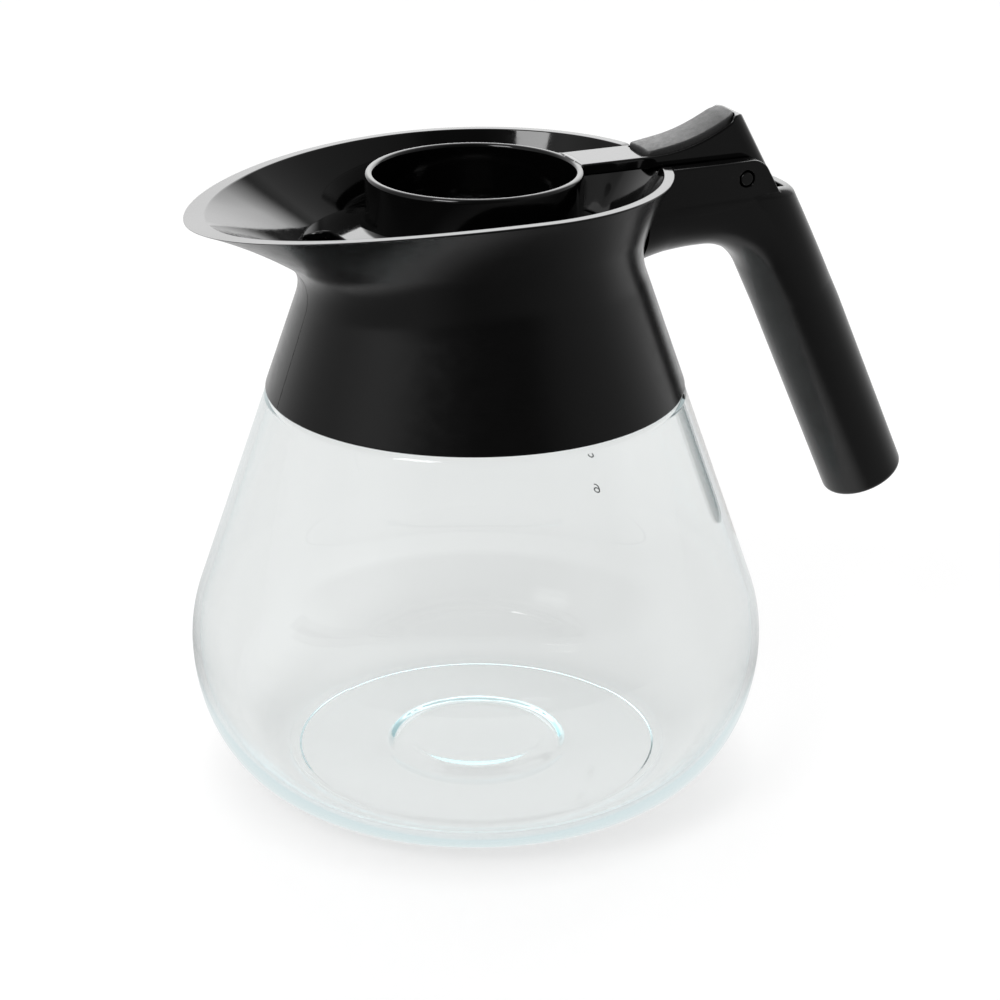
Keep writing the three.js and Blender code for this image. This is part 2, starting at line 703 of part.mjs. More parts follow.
// The origin is under the middle of the whole, from the tip of the spout to the end of the grip.
const reach = new THREE.Box3().setFromObject(carafe);
carafe.position.x = -(reach.min.x + reach.max.x) / 2;

export default carafe;
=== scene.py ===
"""Looks of the glass coffee carafe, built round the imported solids.

Sizes are in millimetres about the axis of the bowl, with the handle along +X and the spout along -X;
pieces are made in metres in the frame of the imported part.
"""
import math

import bpy
import numpy as np
from mathutils import Matrix, Vector


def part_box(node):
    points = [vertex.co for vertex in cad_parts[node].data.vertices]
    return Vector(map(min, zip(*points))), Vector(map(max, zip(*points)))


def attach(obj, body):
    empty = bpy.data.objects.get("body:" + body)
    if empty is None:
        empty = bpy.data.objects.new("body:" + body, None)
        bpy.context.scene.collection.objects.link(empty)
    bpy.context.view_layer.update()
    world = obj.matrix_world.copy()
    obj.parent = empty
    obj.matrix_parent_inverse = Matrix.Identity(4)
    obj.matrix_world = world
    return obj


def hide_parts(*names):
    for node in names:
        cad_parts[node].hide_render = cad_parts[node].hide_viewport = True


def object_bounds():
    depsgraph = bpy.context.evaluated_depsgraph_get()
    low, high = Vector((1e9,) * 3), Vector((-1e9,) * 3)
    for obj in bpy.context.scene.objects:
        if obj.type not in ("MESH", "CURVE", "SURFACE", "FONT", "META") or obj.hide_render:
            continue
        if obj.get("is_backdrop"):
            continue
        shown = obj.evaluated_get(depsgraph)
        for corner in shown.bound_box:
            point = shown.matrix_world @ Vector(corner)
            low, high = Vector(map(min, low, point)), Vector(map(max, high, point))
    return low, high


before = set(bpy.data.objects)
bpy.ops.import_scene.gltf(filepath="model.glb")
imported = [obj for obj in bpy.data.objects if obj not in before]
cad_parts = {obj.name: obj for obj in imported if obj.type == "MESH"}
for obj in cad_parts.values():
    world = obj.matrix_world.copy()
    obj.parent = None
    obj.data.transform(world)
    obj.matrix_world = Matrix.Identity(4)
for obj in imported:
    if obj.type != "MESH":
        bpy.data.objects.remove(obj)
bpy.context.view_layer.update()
bowl_low, bowl_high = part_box("glass_bowl")
AXIS_X = (bowl_low.x + bowl_high.x) / 2

# Glass bowl
FOOT_RADIUS = 54
FOOT_RING = 1.6
FOOT_RISE = 0.5
BELLY_RADIUS = 82
BELLY_HEIGHT = 40.3
SHOULDER_RADIUS = 45.2
CONE = math.radians(19.25)
GLASS_WALL = 2.2
BASE_THICKNESS = 3.6
PUSH_UP_RADIUS = 27
PUSH_UP_TOP = 19.5
PUSH_UP_HEIGHT = 3.4
STEP_BELOW = 1.2
STEP_ABOVE = 3.8

# Collar
SKIRT_FOOT = 114.6
SKIRT_PROUD = 0.4
SKIRT_WALL = 2.7
SKIRT_EDGE = 0.7
SKIRT_TRIM = 0.8
SKIRT_LIP = 1.2
SKIRT_HEIGHT = 37.8
WAIST_SLANT = 1.6
WAIST_BLEND = 8.2
WAIST_BLEND_SWING = 2.2
FUNNEL_HEIGHT = 22.8
FUNNEL_WALL = 2.9
FUNNEL_BOW = math.radians(4.5)
ARM_DIP_END = 14.5
ARM_DIP_RUN = 6.5
SIDE_FLARE = 6
BACK_FLARE = 9.5
SPOUT_FLARE = 35.9
SPOUT_ROUNDNESS = 1.92
RIM_DIP = 5.5
RIM_EDGE = 0.7
RIM_INNER_EDGE = 0.35
RIM_EDGE_POINTS = 6
SEAM_HALF = 0.0026
SEAM_DEPTH = 0.16
THROAT_FLANGE = 2.4
FLANGE_THICKNESS = 2.6
FLANGE_DROP = 4.1
FLANGE_EDGE = 0.7
NECK_GAP = 2
SEAT_GAP = 0.3
GASKET = 1.6
SEAL_HEIGHT = 10
SEAL_ABOVE_FOOT = 4

# Handle and hinge
PIN_BEHIND_RIM = 22.4
PIN_BELOW_RIM = 6.8
PIN_RADIUS = 1.9
PIN_HOLE = 2.4
GRIP_RADIUS = 12.2
GRIP_WALL = 2.8
GRIP_TILT = math.radians(23.9)
GRIP_LENGTH = 104
GRIP_END_ROUND = 1.6
GRIP_BEHIND_PIN = 7.6
LEDGE_BELOW_PIN = 5.2
LEDGE_ROUND = 2.4
LEDGE_LIFT = 0.7
GRIP_LEAN = 2.6
GRIP_LEAN_RUN = 44
GRIP_LEAN_SPAN = 20
GRIP_LEAN_LIMIT = 1.1
GRIP_LEAN_POWER = 1.3
BRIDGE_BELOW_PIN = 8
BRIDGE_ARCH = 3.9
BEND_RADIUS = 29
CHEEK_ABOVE_PIN = 5.1
CHEEK_BEHIND_PIN = 7.2
CHEEK_CORNER = 3
CHEEK_DRAFT = 0.35
CHEEK_SUNK = 0.1
CHEEK_EDGE = 0.5
CHEEK_FILLET = 0.4
CHEEK_FOOT_DROP = 1
CHANNEL_EDGE = 0.4
PIN_HOLE_EDGE = 0.15
GRIP_SQUARE = 0.9
GRIP_SQUARE_RUN = 36
BRIDGE_SQUARE_RUN = 22
COLLAR_GAP = 0.1
COLLAR_GRADE = 0.92
PLUG_LENGTH = 7

# Lid
RING_RADIUS = 29.9
RING_WALL = 2.2
RING_ABOVE_RIM = 1.4
RING_FILLET = 1.5
DISC_BELOW_RIM = 12.9
DISC_FALL = 4.3
DISC_THICKNESS = 2.2
DISC_RADIUS = 43.3
DISC_SHIFT = 4.4
DISC_GAP = 0.8
DISC_EDGE = 0.6
FLOOR_BELOW_DISC = 5
DRIP_HOLE = 8
DRIP_FALL = 3.6
NOTCH_HALF_WIDTH = 18.5
NOTCH_FROM_AXIS = 37.1
NOTCH_CORNER = 6
NOTCH_EDGE = 0.5
LEVER_HALF_WIDTH = 7.1
LEVER_BACK = 9.8
LEVER_TILT = math.radians(28.6)
LEVER_CORNER = 4.5
LEVER_CREST = 4.0
LEVER_LAND_RISE = 0.8
LEVER_LAND_RUN = 3
LEVER_EDGE = 0.5
LEVER_UNDER_EDGE = 0.4
LEVER_FILLET = 0.7
HUB_RADIUS = 7
HEEL_ROOM_BELOW = 2.4
HEEL_ROOM_BEHIND = 3.2
HEEL_RADIUS = 10.9
HEEL_ROUND = 7
CHANNEL_HALF_WIDTH = 7.8
THUMB_RADIUS = 46
THUMB_BEFORE_RIM = 4.9
PAD_PROUD = 1.4
PAD_SWELL = 0.8
PAD_SUNK = 0.8
PAD_HALF_WIDTH = 6.2
PAD_LEAD = 1
PAD_LAND = 2.4
PAD_FRONT_CORNER = 1.2
PAD_REAR_CORNER = 3.6
PAD_REAR_DROP = 0.45
PAD_REAR_SHARE = 0.15
PAD_CROWN = 0.012
PAD_EDGE = 0.6
PAD_RECESS_EDGE = 0.1

# Level scale printed on the glass
SCALE_TURN = math.radians(37.7)
SCALE_EIGHT_HEIGHT = 69.3
SCALE_SIX_HEIGHT = 56
SCALE_STROKE = 0.5
SCALE_LIFT = 0.02
SCALE_THICKNESS = 0.05

# Places that follow
TAPER = math.tan(CONE)
CONE_FOOT_RADIUS = BELLY_RADIUS - SHOULDER_RADIUS * (1 - math.cos(CONE))
CONE_FOOT_HEIGHT = BELLY_HEIGHT + SHOULDER_RADIUS * math.sin(CONE)
WAIST_HEIGHT = SKIRT_FOOT + SKIRT_HEIGHT
RIM_HEIGHT = WAIST_HEIGHT + FUNNEL_HEIGHT


def bowl_cone(z):
    return CONE_FOOT_RADIUS - TAPER * (z - CONE_FOOT_HEIGHT)


def skirt_radius(z):
    return bowl_cone(z) + SKIRT_PROUD


def neck_radius(z):
    return skirt_radius(z) - SKIRT_WALL - NECK_GAP


WAIST_RADIUS = skirt_radius(WAIST_HEIGHT)
RIM_HALF_WIDTH = WAIST_RADIUS + SIDE_FLARE
RIM_BACK = WAIST_RADIUS + BACK_FLARE
SPOUT_REACH = WAIST_RADIUS + SPOUT_FLARE
FLANGE_TOP = WAIST_HEIGHT - FLANGE_DROP
FLANGE_UNDER = FLANGE_TOP - FLANGE_THICKNESS
THROAT_RADIUS = WAIST_RADIUS - FUNNEL_WALL
MOUTH_HEIGHT = FLANGE_UNDER - GASKET - 2 * SEAT_GAP
PIN_X = RIM_BACK + PIN_BEHIND_RIM
PIN_Z = RIM_HEIGHT - PIN_BELOW_RIM
LEDGE_Z = PIN_Z - LEDGE_BELOW_PIN
RING_TOP = RIM_HEIGHT + RING_ABOVE_RIM
DISC_TOP = RIM_HEIGHT - DISC_BELOW_RIM
DISC_EDGE_TOP = DISC_TOP - DISC_FALL
FLOOR_TOP = DISC_TOP - FLOOR_BELOW_DISC
HOLLOW_X = RIM_BACK - THUMB_BEFORE_RIM
HOLLOW_Z = RING_TOP + THUMB_RADIUS


def rim_z(x):
    return RIM_HEIGHT - RIM_DIP * (x / SPOUT_REACH) ** 2


ARM_UNDER = rim_z(RIM_BACK - FUNNEL_WALL * math.hypot(BACK_FLARE, FUNNEL_HEIGHT) / FUNNEL_HEIGHT) + SEAT_GAP


# Meshes

def in_frame(points):
    """Millimetres about the bowl's axis to metres in the part's frame."""
    return np.asarray(points, float) * 0.001 + np.array([AXIS_X, 0, 0])


def vertex_normals(points, faces):
    """Normals at the corners, weighted by the area of the faces, so that flat faces stay flat."""
    total = np.zeros_like(points)
    for face in faces:
        corners = points[face]
        n = np.zeros((len(face), 3))
        for k in range(1, face.shape[1] - 1):
            n += np.cross(corners[:, k] - corners[:, 0], corners[:, k + 1] - corners[:, 0])
        n *= np.linalg.norm(n, axis=1)[:, None]
        for k in range(face.shape[1]):
            np.add.at(total, face[:, k], n)
    return total / np.maximum(np.linalg.norm(total, axis=1), 1e-30)[:, None]


def piece(name, points, faces, body, materials, replaced=(), normals=None, index=None):
    """A smooth mesh that rides on a body. faces is a list of index arrays, each with one count of corners."""
    points = in_frame(points)
    mesh = bpy.data.meshes.new(name)
    mesh.from_pydata(points.tolist(), [], [f for face in faces for f in face.tolist()])
    mesh.update()
    mesh.polygons.foreach_set("use_smooth", np.ones(len(mesh.polygons), bool))
    if normals is None:
        normals = vertex_normals(points * 1000, faces)
    mesh.normals_split_custom_set_from_vertices(normals.tolist())
    for material in materials:
        mesh.materials.append(material)
    if index is not None:
        mesh.polygons.foreach_set("material_index", np.asarray(index, np.int32))
    obj = bpy.data.objects.new(name, mesh)
    bpy.context.scene.collection.objects.link(obj)
    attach(obj, body)
    if replaced:
        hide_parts(*replaced)
    return obj


def turned(profile, sides):
    """Points and faces of a (radius, height) profile turned round the axis, closed there or on itself."""
    points, rows = [], []
    for r, z in profile:
        if r < 1e-6:
            rows.append([len(points)] * sides)
            points.append((0, 0, z))
            continue
        rows.append(list(range(len(points), len(points) + sides)))
        for i in range(sides):
            a = 2 * math.pi * i / sides
            points.append((r * math.cos(a), r * math.sin(a), z))
    closed = profile[0][0] > 1e-6
    quads, tris = [], []
    for j in range(len(rows) if closed else len(rows) - 1):
        low, high = rows[j], rows[(j + 1) % len(rows)]
        for i in range(sides):
            k = (i + 1) % sides
            if low[i] == low[k]:
                tris.append((low[i], high[k], high[i]))
            elif high[i] == high[k]:
                tris.append((low[i], low[k], high[i]))
            else:
                quads.append((low[i], low[k], high[k], high[i]))
    faces = [np.array(f, int) for f in (quads, tris) if f]
    return np.array(points, float), faces


def arc(cx, cz, radius, start, end, steps):
    return [(cx + radius * math.cos(a), cz + radius * math.sin(a)) for a in np.linspace(start, end, steps)]


def line(p, q, steps):
    """Points from p to q without the last."""
    return [tuple(np.array(p) + (np.array(q) - np.array(p)) * k / steps) for k in range(steps)]


def bezier(control, steps):
    control = [np.array(c, float) for c in control]
    out = []
    for t in np.linspace(0, 1, steps):
        row = control
        while len(row) > 1:
            row = [a + (b - a) * t for a, b in zip(row, row[1:])]
        out.append(tuple(row[0]))
    return out


# Distance fields: negative inside, in millimetres

def both(a, b, radius=0.0):
    """What lies in both, with its edge rounded."""
    if radius == 0:
        return np.maximum(a, b)
    corner = np.hypot(np.maximum(a + radius, 0), np.maximum(b + radius, 0))
    return np.minimum(np.maximum(a, b), -radius) + corner


def either(a, b, radius=0.0):
    """What lies in one or the other, with a fillet between them."""
    return -both(-a, -b, radius)


def without(a, b, radius=0.0):
    return both(a, -b, radius)


def eased(t):
    """From 0 to 1 with level ends."""
    t = np.clip(t, 0, 1)
    return t * t * (3 - 2 * t)


def net(field, low, high, step):
    """Points, faces and normals of the zero surface of a field that mirrors in the XZ plane."""
    axes = [np.arange(l, h + step, step) for l, h in zip(low, high)]
    half = step / 2
    axes[1] = np.arange(-half, high[1] + step, step)
    grid = np.meshgrid(*axes, indexing="ij", sparse=True)
    value = np.broadcast_to(field(*grid), [len(a) for a in axes]).astype(np.float64)
    inside = value < 0
    cells = [len(a) - 1 for a in axes]
    corner = [(i, j, k) for i in (0, 1) for j in (0, 1) for k in (0, 1)]
    cut = [slice(None, -1), slice(1, None)]
    count = sum(inside[cut[i], cut[j], cut[k]].astype(np.int8) for i, j, k in corner)
    active = np.argwhere((count > 0) & (count < 8))
    number = np.full(cells, -1, np.int64)
    number[tuple(active.T)] = np.arange(len(active))
    total = np.zeros((len(active), 3))
    hits = np.zeros(len(active))
    for a in corner:
        for axis in range(3):
            if a[axis] == 1:
                continue
            b = list(a)
            b[axis] = 1
            va = value[tuple((active + a).T)]
            vb = value[tuple((active + b).T)]
            cross = (va < 0) != (vb < 0)
            t = np.where(cross, va / np.where(cross, va - vb, 1), 0)
            place = np.array(a, float) + np.zeros((len(active), 3))
            place[:, axis] = t
            total += place * cross[:, None]
            hits += cross
    origin = np.array([a[0] for a in axes])
    points = origin + (active + total / hits[:, None]) * step
    quads = []
    for axis in range(3):
        u, v = (axis + 1) % 3, (axis + 2) % 3
        low_cut, high_cut = [slice(None)] * 3, [slice(None)] * 3
        low_cut[axis], high_cut[axis] = slice(None, -1), slice(1, None)
        change = inside[tuple(low_cut)] != inside[tuple(high_cut)]
        where = np.argwhere(change)
        keep = (where[:, u] > 0) & (where[:, v] > 0) & (where[:, u] < cells[u]) & (where[:, v] < cells[v])
        where = where[keep]
        ring = []
        for du, dv in ((-1, -1), (0, -1), (0, 0), (-1, 0)):
            cell = where.copy()
            cell[:, u] += du
            cell[:, v] += dv
            ring.append(number[tuple(cell.T)])
        quad = np.stack(ring, 1)
        flip = ~inside[tuple(where.T)]
        quad[flip] = quad[flip][:, ::-1]
        quads.append(quad)
    quads = np.vstack(quads)
    for _ in range(3):
        points, slope = settle(field, points)
    middle = active[:, 1] == 0
    points[middle, 1] = 0
    mirror = np.where(middle, np.arange(len(points)), -1)
    mirror[~middle] = len(points) + np.arange((~middle).sum())
    flank = (points[quads][:, :, 1] > 1e-9).any(1)
    quads = quads[flank]
    other = points[~middle] * [1, -1, 1]
    slope_other = slope[~middle] * [1, -1, 1]
    slope[middle, 1] = 0
    points = np.vstack([points, other])
    normals = np.vstack([slope, slope_other])
    normals /= np.maximum(np.linalg.norm(normals, axis=1), 1e-12)[:, None]
    quads = np.vstack([quads, mirror[quads][:, ::-1]])
    used = np.unique(quads)
    renumber = np.full(len(points), -1, np.int64)
    renumber[used] = np.arange(len(used))
    return points[used], [renumber[quads]], normals[used]


def settle(field, points, eps=0.02):
    """Moves points onto the zero surface, and gives the slope there."""
    value = field(*points.T)
    slope = np.stack([
        (field(*(points + eps * e).T) - field(*(points - eps * e).T)) / (2 * eps) for e in np.eye(3)
    ], 1)
    size = np.maximum((slope ** 2).sum(1), 0.05)
    move = np.clip(value / size, -0.3, 0.3)
    return points - slope * move[:, None], slope


# Shapes of the collar

def rim_radius(angle):
    toward = np.cos(angle) < 0
    half = np.where(toward, SPOUT_REACH, RIM_BACK)
    power = np.where(toward, SPOUT_ROUNDNESS, 2.0)
    along = np.abs(np.cos(angle)) / half
    aside = np.abs(np.sin(angle)) / RIM_HALF_WIDTH
    return (along ** power + aside ** power) ** (-1 / power)


def waist(angle):
    """Corner of skirt and funnel, rim, and the unit way up the funnel, as (radius, height) pairs."""
    z = WAIST_HEIGHT + WAIST_SLANT * np.cos(angle)
    r = skirt_radius(z)
    rim = rim_radius(angle)
    x, y = rim * np.cos(angle), rim * np.sin(angle)
    share = np.where(x > 0, eased((ARM_DIP_END - np.abs(y)) / ARM_DIP_RUN), 1)
    top = RIM_HEIGHT - (RIM_HEIGHT - rim_z(x)) * share
    up_r, up_z = rim - r, top - z
    size = np.hypot(up_r, up_z)
    return r, z, rim, top, up_r / size, up_z / size


def bowed(angle):
    """Start of the funnel above the waist and the middle control point of its curve up to the rim."""
    r, z, rim, top, up_r, up_z = waist(angle)
    blend = WAIST_BLEND - WAIST_BLEND_SWING * np.cos(angle)
    turn_r = up_r * math.cos(FUNNEL_BOW) - up_z * math.sin(FUNNEL_BOW)
    turn_z = up_z * math.cos(FUNNEL_BOW) + up_r * math.sin(FUNNEL_BOW)
    start_r, start_z = r + blend * turn_r, z + blend * turn_z
    half = np.hypot(rim - start_r, top - start_z) / 2
    return blend, start_r, start_z, start_r + half * turn_r, start_z + half * turn_z


def on_curve(height, low, middle, high):
    """Radius at a height on a quadratic curve through three (radius, height) control points."""
    a, b, c = low[1] - 2 * middle[1] + high[1], 2 * (middle[1] - low[1]), low[1] - height
    t = np.clip(-2 * c / (b + np.sqrt(np.maximum(b * b - 4 * a * c, 1e-9))), 0, 1)
    return (1 - t) ** 2 * low[0] + 2 * t * (1 - t) * middle[0] + t * t * high[0]


def collar_radius(angle, height):
    """Outside radius of the collar in a direction, at a height."""
    r, z, rim, top, _, _ = waist(angle)
    blend, start_r, start_z, middle_r, middle_z = bowed(angle)
    low = (r + blend * math.sin(CONE), z - blend * math.cos(CONE))
    start = (start_r, start_z)
    curve = on_curve(height, low, (r, z), start)
    funnel = on_curve(height, start, (middle_r, middle_z), (rim, top))
    return np.where(height < low[1], skirt_radius(height), np.where(height > start_z, funnel, curve))


def funnel_inside(angle, height):
    _, _, rim, top, up_r, up_z = waist(angle)
    return rim - FUNNEL_WALL / up_z - (top - height) * up_r / up_z


def collar_section(angle):
    """Outside points from the skirt's edge to the rim, and inside points from there down and out."""
    r, z, rim, top, up_r, up_z = (float(v) for v in waist(angle))
    blend, start_r, start_z, middle_r, middle_z = (float(v) for v in bowed(angle))
    foot_z = SKIRT_FOOT + SKIRT_TRIM
    foot = (skirt_radius(foot_z), foot_z)
    edge = bezier([
        (foot[0] - SKIRT_EDGE, foot_z), foot, (skirt_radius(foot_z + SKIRT_EDGE), foot_z + SKIRT_EDGE),
    ], 8)
    low = (r + blend * math.sin(CONE), z - blend * math.cos(CONE))
    start = (start_r, start_z)
    size = math.hypot(rim - middle_r, top - middle_z)
    end_r, end_z = (rim - middle_r) / size, (top - middle_z) / size
    wall = FUNNEL_WALL / up_z
    inner = rim - wall
    outer_edge = bezier([
        (rim - RIM_EDGE * end_r, top - RIM_EDGE * end_z), (rim, top), (rim - RIM_EDGE, top),
    ], RIM_EDGE_POINTS)
    slim = RIM_INNER_EDGE
    inner_edge = bezier([
        (inner + slim, top), (inner, top), (inner - slim * end_r, top - slim * end_z),
    ], 5)
    funnel = bezier([start, (middle_r, middle_z), outer_edge[0]], 12)
    well = bezier([inner_edge[-1], (middle_r - wall, middle_z), (start_r - wall, start_z)], 12)
    fall = max(start_r - wall - THROAT_RADIUS, 0.05) * (middle_z - start_z) / (middle_r - start_r)
    throat_z = max(start_z - max(fall, 0.5), FLANGE_TOP + FLANGE_EDGE)
    outside = (
        edge[:-1]
        + line(edge[-1], low, 14)
        + bezier([low, (r, z), start], 20)[:-1]
        + funnel[:-1]
        + outer_edge
    )
    flange = THROAT_RADIUS - THROAT_FLANGE
    skirt_in = skirt_radius(FLANGE_UNDER) - SKIRT_WALL
    lip_z = SKIRT_FOOT + STEP_ABOVE
    inside = (
        inner_edge
        + well[1:]
        + line(well[-1], (THROAT_RADIUS, throat_z), 6)[1:]
        + line((THROAT_RADIUS, throat_z), (THROAT_RADIUS, FLANGE_TOP), 2)
        + [(THROAT_RADIUS, FLANGE_TOP), (flange, FLANGE_TOP - FLANGE_EDGE)]
        + [(flange, FLANGE_UNDER), (skirt_in, FLANGE_UNDER)]
        + line((skirt_in, FLANGE_UNDER), (skirt_radius(lip_z) - SKIRT_WALL, lip_z), 8)[1:]
        + [(skirt_radius(lip_z) - SKIRT_WALL, lip_z), (foot[0] - SKIRT_LIP, foot_z)]
    )
    return outside, inside


def collar_mesh(sides):
    angles = list(np.linspace(-math.pi, math.pi, sides, endpoint=False))
    seam = [math.pi + k * SEAM_HALF for k in (-2, -1, 0, 1, 2)]
    angles = [a for a in angles if min(abs(a - math.pi), abs(a + math.pi)) > 3 * SEAM_HALF]
    angles = sorted(angles) + seam
    rows = []
    for angle in angles:
        outside, inside = collar_section(angle)
        dip = SEAM_DEPTH * max(0, 1 - abs(angle - math.pi) / SEAM_HALF)
        outside = [(r - dip, z) for r, z in outside[:-RIM_EDGE_POINTS]] + outside[-RIM_EDGE_POINTS:]
        rows.append([(r * math.cos(angle), r * math.sin(angle), z) for r, z in outside + inside])
    n, m = len(rows), len(rows[0])
    outside_count = len(outside)
    points = np.array(rows, float).reshape(-1, 3)
    i, j = np.meshgrid(np.arange(n), np.arange(m), indexing="ij")
    i2, j2 = (i + 1) % n, (j + 1) % m
    quads = np.stack([i * m + j, i2 * m + j, i2 * m + j2, i * m + j2], -1).reshape(-1, 4)
    glossy = (j >= outside_count - 4) & (j < m - 13)
    return points, [quads], glossy.reshape(-1).astype(int)


# Shapes of the handle

def grip_place(x, z):
    """Along the grip's axis from the ledge, and across it in the XZ plane."""
    dx, dz = x - (PIN_X + GRIP_BEHIND_PIN), z - LEDGE_Z
    along = dx * math.sin(GRIP_TILT) - dz * math.cos(GRIP_TILT)
    across = dx * math.cos(GRIP_TILT) + dz * math.sin(GRIP_TILT)
    return along, across


def bridge_line():
    """Where the arched start of the bridge's centre line runs, and where the bend into the grip begins."""
    z = PIN_Z - BRIDGE_BELOW_PIN
    meet = PIN_X + GRIP_BEHIND_PIN + (LEDGE_Z - z) * math.tan(GRIP_TILT)
    bend_x = meet - BEND_RADIUS * math.tan((math.pi / 2 - GRIP_TILT) / 2)
    arch = bezier([(THROAT_RADIUS, z - BRIDGE_ARCH), ((THROAT_RADIUS + bend_x) / 2, z), (bend_x, z)], 25)
    return arch, bend_x, z


ARCH, BEND_X, BRIDGE_Z = bridge_line()


def bridge_distance(x, z):
    """Distance from the bridge's centre line in the XZ plane."""
    best = np.inf
    for (ax, az), (bx, bz) in zip(ARCH, ARCH[1:]):
        t = np.clip(((x - ax) * (bx - ax) + (z - az) * (bz - az)) / ((bx - ax) ** 2 + (bz - az) ** 2), 0, 1)
        best = np.minimum(best, np.hypot(x - ax - t * (bx - ax), z - az - t * (bz - az)))
    cz = BRIDGE_Z - BEND_RADIUS
    angle = np.clip(np.arctan2(z - cz, x - BEND_X), GRIP_TILT, math.pi / 2)
    bend = np.hypot(x - BEND_X - BEND_RADIUS * np.cos(angle), z - cz - BEND_RADIUS * np.sin(angle))
    return np.minimum(best, bend)


def lean(x, z):
    """Distance behind the hinge axis, square to the lever's leaning rear face."""
    return (x - PIN_X) * math.cos(LEVER_TILT) + (z - PIN_Z) * math.sin(LEVER_TILT)


def rounded(a, b, power):
    """Distance from an axis by a rounded square, which is a circle at the power 2."""
    return (np.abs(a) ** power + np.abs(b) ** power) ** (1 / power)


def handle_field(x, y, z):
    along, across = grip_place(x, z)
    leaning = np.clip(1 - along / GRIP_LEAN_RUN, 0, GRIP_LEAN_LIMIT) ** GRIP_LEAN_POWER
    in_by = GRIP_LEAN * leaning * eased(across / GRIP_LEAN_SPAN + 0.5)
    radial = np.hypot(across + in_by, y)
    squared = GRIP_SQUARE * np.clip(1 - along / GRIP_SQUARE_RUN, 0, 1)
    side = rounded(across + in_by, y, 2 + squared)
    grip = both(side - GRIP_RADIUS, along - GRIP_LENGTH, GRIP_END_ROUND)
    squared = squared * np.clip((x - RIM_BACK) / BRIDGE_SQUARE_RUN, 0, 1)
    arched = bridge_distance(x + in_by * math.cos(GRIP_TILT), z + in_by * math.sin(GRIP_TILT))
    bridge = rounded(arched, y, 2 + squared) - GRIP_RADIUS
    rods = both(np.minimum(grip, bridge), z - LEDGE_Z - LEDGE_LIFT, LEDGE_ROUND)
    top = z - PIN_Z - CHEEK_ABOVE_PIN
    cheek = both(lean(x, z) - CHEEK_BEHIND_PIN, top, CHEEK_CORNER)
    back = np.clip((x - RIM_BACK) / (PIN_X + CHEEK_BEHIND_PIN - RIM_BACK), 0, 1) ** 3
    cheek_foot = BRIDGE_Z - CHEEK_FOOT_DROP
    cheek_foot = cheek_foot + (LEDGE_Z - cheek_foot) * back
    flank = np.abs(y) - GRIP_RADIUS + CHEEK_SUNK + CHEEK_DRAFT * back
    cheek = both(np.maximum(cheek, cheek_foot - z), flank, CHEEK_EDGE)
    body = either(rods, cheek, CHEEK_FILLET)
    floor = PIN_Z - HEEL_RADIUS - HEEL_ROOM_BELOW
    channel = both(x - PIN_X - HEEL_RADIUS - HEEL_ROOM_BEHIND, floor - z, HEEL_ROOM_BEHIND)
    body = without(body, np.maximum(channel, np.abs(y) - CHANNEL_HALF_WIDTH), CHANNEL_EDGE)
    bore = np.maximum(radial - GRIP_RADIUS + GRIP_WALL, GRIP_RADIUS - GRIP_WALL - along)
    body = without(body, bore)
    body = without(body, np.hypot(x - PIN_X, z - PIN_Z) - PIN_HOLE, PIN_HOLE_EDGE)
    r, angle = np.hypot(x, y), np.arctan2(y, x)
    room = (r - collar_radius(angle, np.minimum(z, rim_z(x))) - COLLAR_GAP) * COLLAR_GRADE
    return without(body, room, 0.1)


# Shapes of the lid

def disc_edge(angle, height):
    aside = DISC_SHIFT * np.sin(angle)
    circle = np.sqrt(DISC_RADIUS ** 2 - aside ** 2) - DISC_SHIFT * np.cos(angle)
    return np.minimum(circle, funnel_inside(angle, height) - DISC_GAP)


def lever_field(x, y, z):
    top = np.where(x < HOLLOW_X, z - RING_TOP, THUMB_RADIUS - np.hypot(x - HOLLOW_X, z - HOLLOW_Z))
    top = top - LEVER_LAND_RISE * eased((x - PAD_END + LEVER_LAND_RUN) / LEVER_LAND_RUN)
    rear = lean(x, z) - LEVER_BACK
    hub = both(PIN_X - HUB_RADIUS - x, PIN_Z - HUB_RADIUS - z, HUB_RADIUS)
    under = either(ARM_UNDER - z, hub, HUB_RADIUS / 2)
    sides = both(np.abs(y) - LEVER_HALF_WIDTH, rear, LEVER_CORNER)
    shape = both(sides, top, LEVER_EDGE)
    shape = np.maximum(shape, both(rear, top, LEVER_CREST))
    shape = both(shape, both(under, rear, HEEL_ROUND), LEVER_UNDER_EDGE)
    return np.maximum(shape, RING_RADIUS - RING_WALL / 2 - x)


def crest_angle():
    """Slope of the thumb hollow where it meets the lever's rear face."""
    square = np.array([math.cos(LEVER_TILT), math.sin(LEVER_TILT)])
    up = np.array([-square[1], square[0]])
    start = np.array([PIN_X, PIN_Z]) + square * LEVER_BACK
    reach = start - np.array([HOLLOW_X, HOLLOW_Z])
    along = reach @ up
    s = -along - math.sqrt(along ** 2 - reach @ reach + THUMB_RADIUS ** 2)
    return math.asin((start[0] + up[0] * s - HOLLOW_X) / THUMB_RADIUS)


PAD_END = HOLLOW_X + THUMB_RADIUS * math.sin(crest_angle() - PAD_LAND / THUMB_RADIUS)


def pad_plan(x, y, gap):
    front = both(HOLLOW_X - PAD_LEAD - gap - x, np.abs(y) - PAD_HALF_WIDTH - gap, PAD_FRONT_CORNER)
    rear = both(x - PAD_END - gap, np.abs(y) - PAD_HALF_WIDTH - gap, PAD_REAR_CORNER)
    return np.maximum(front, rear)


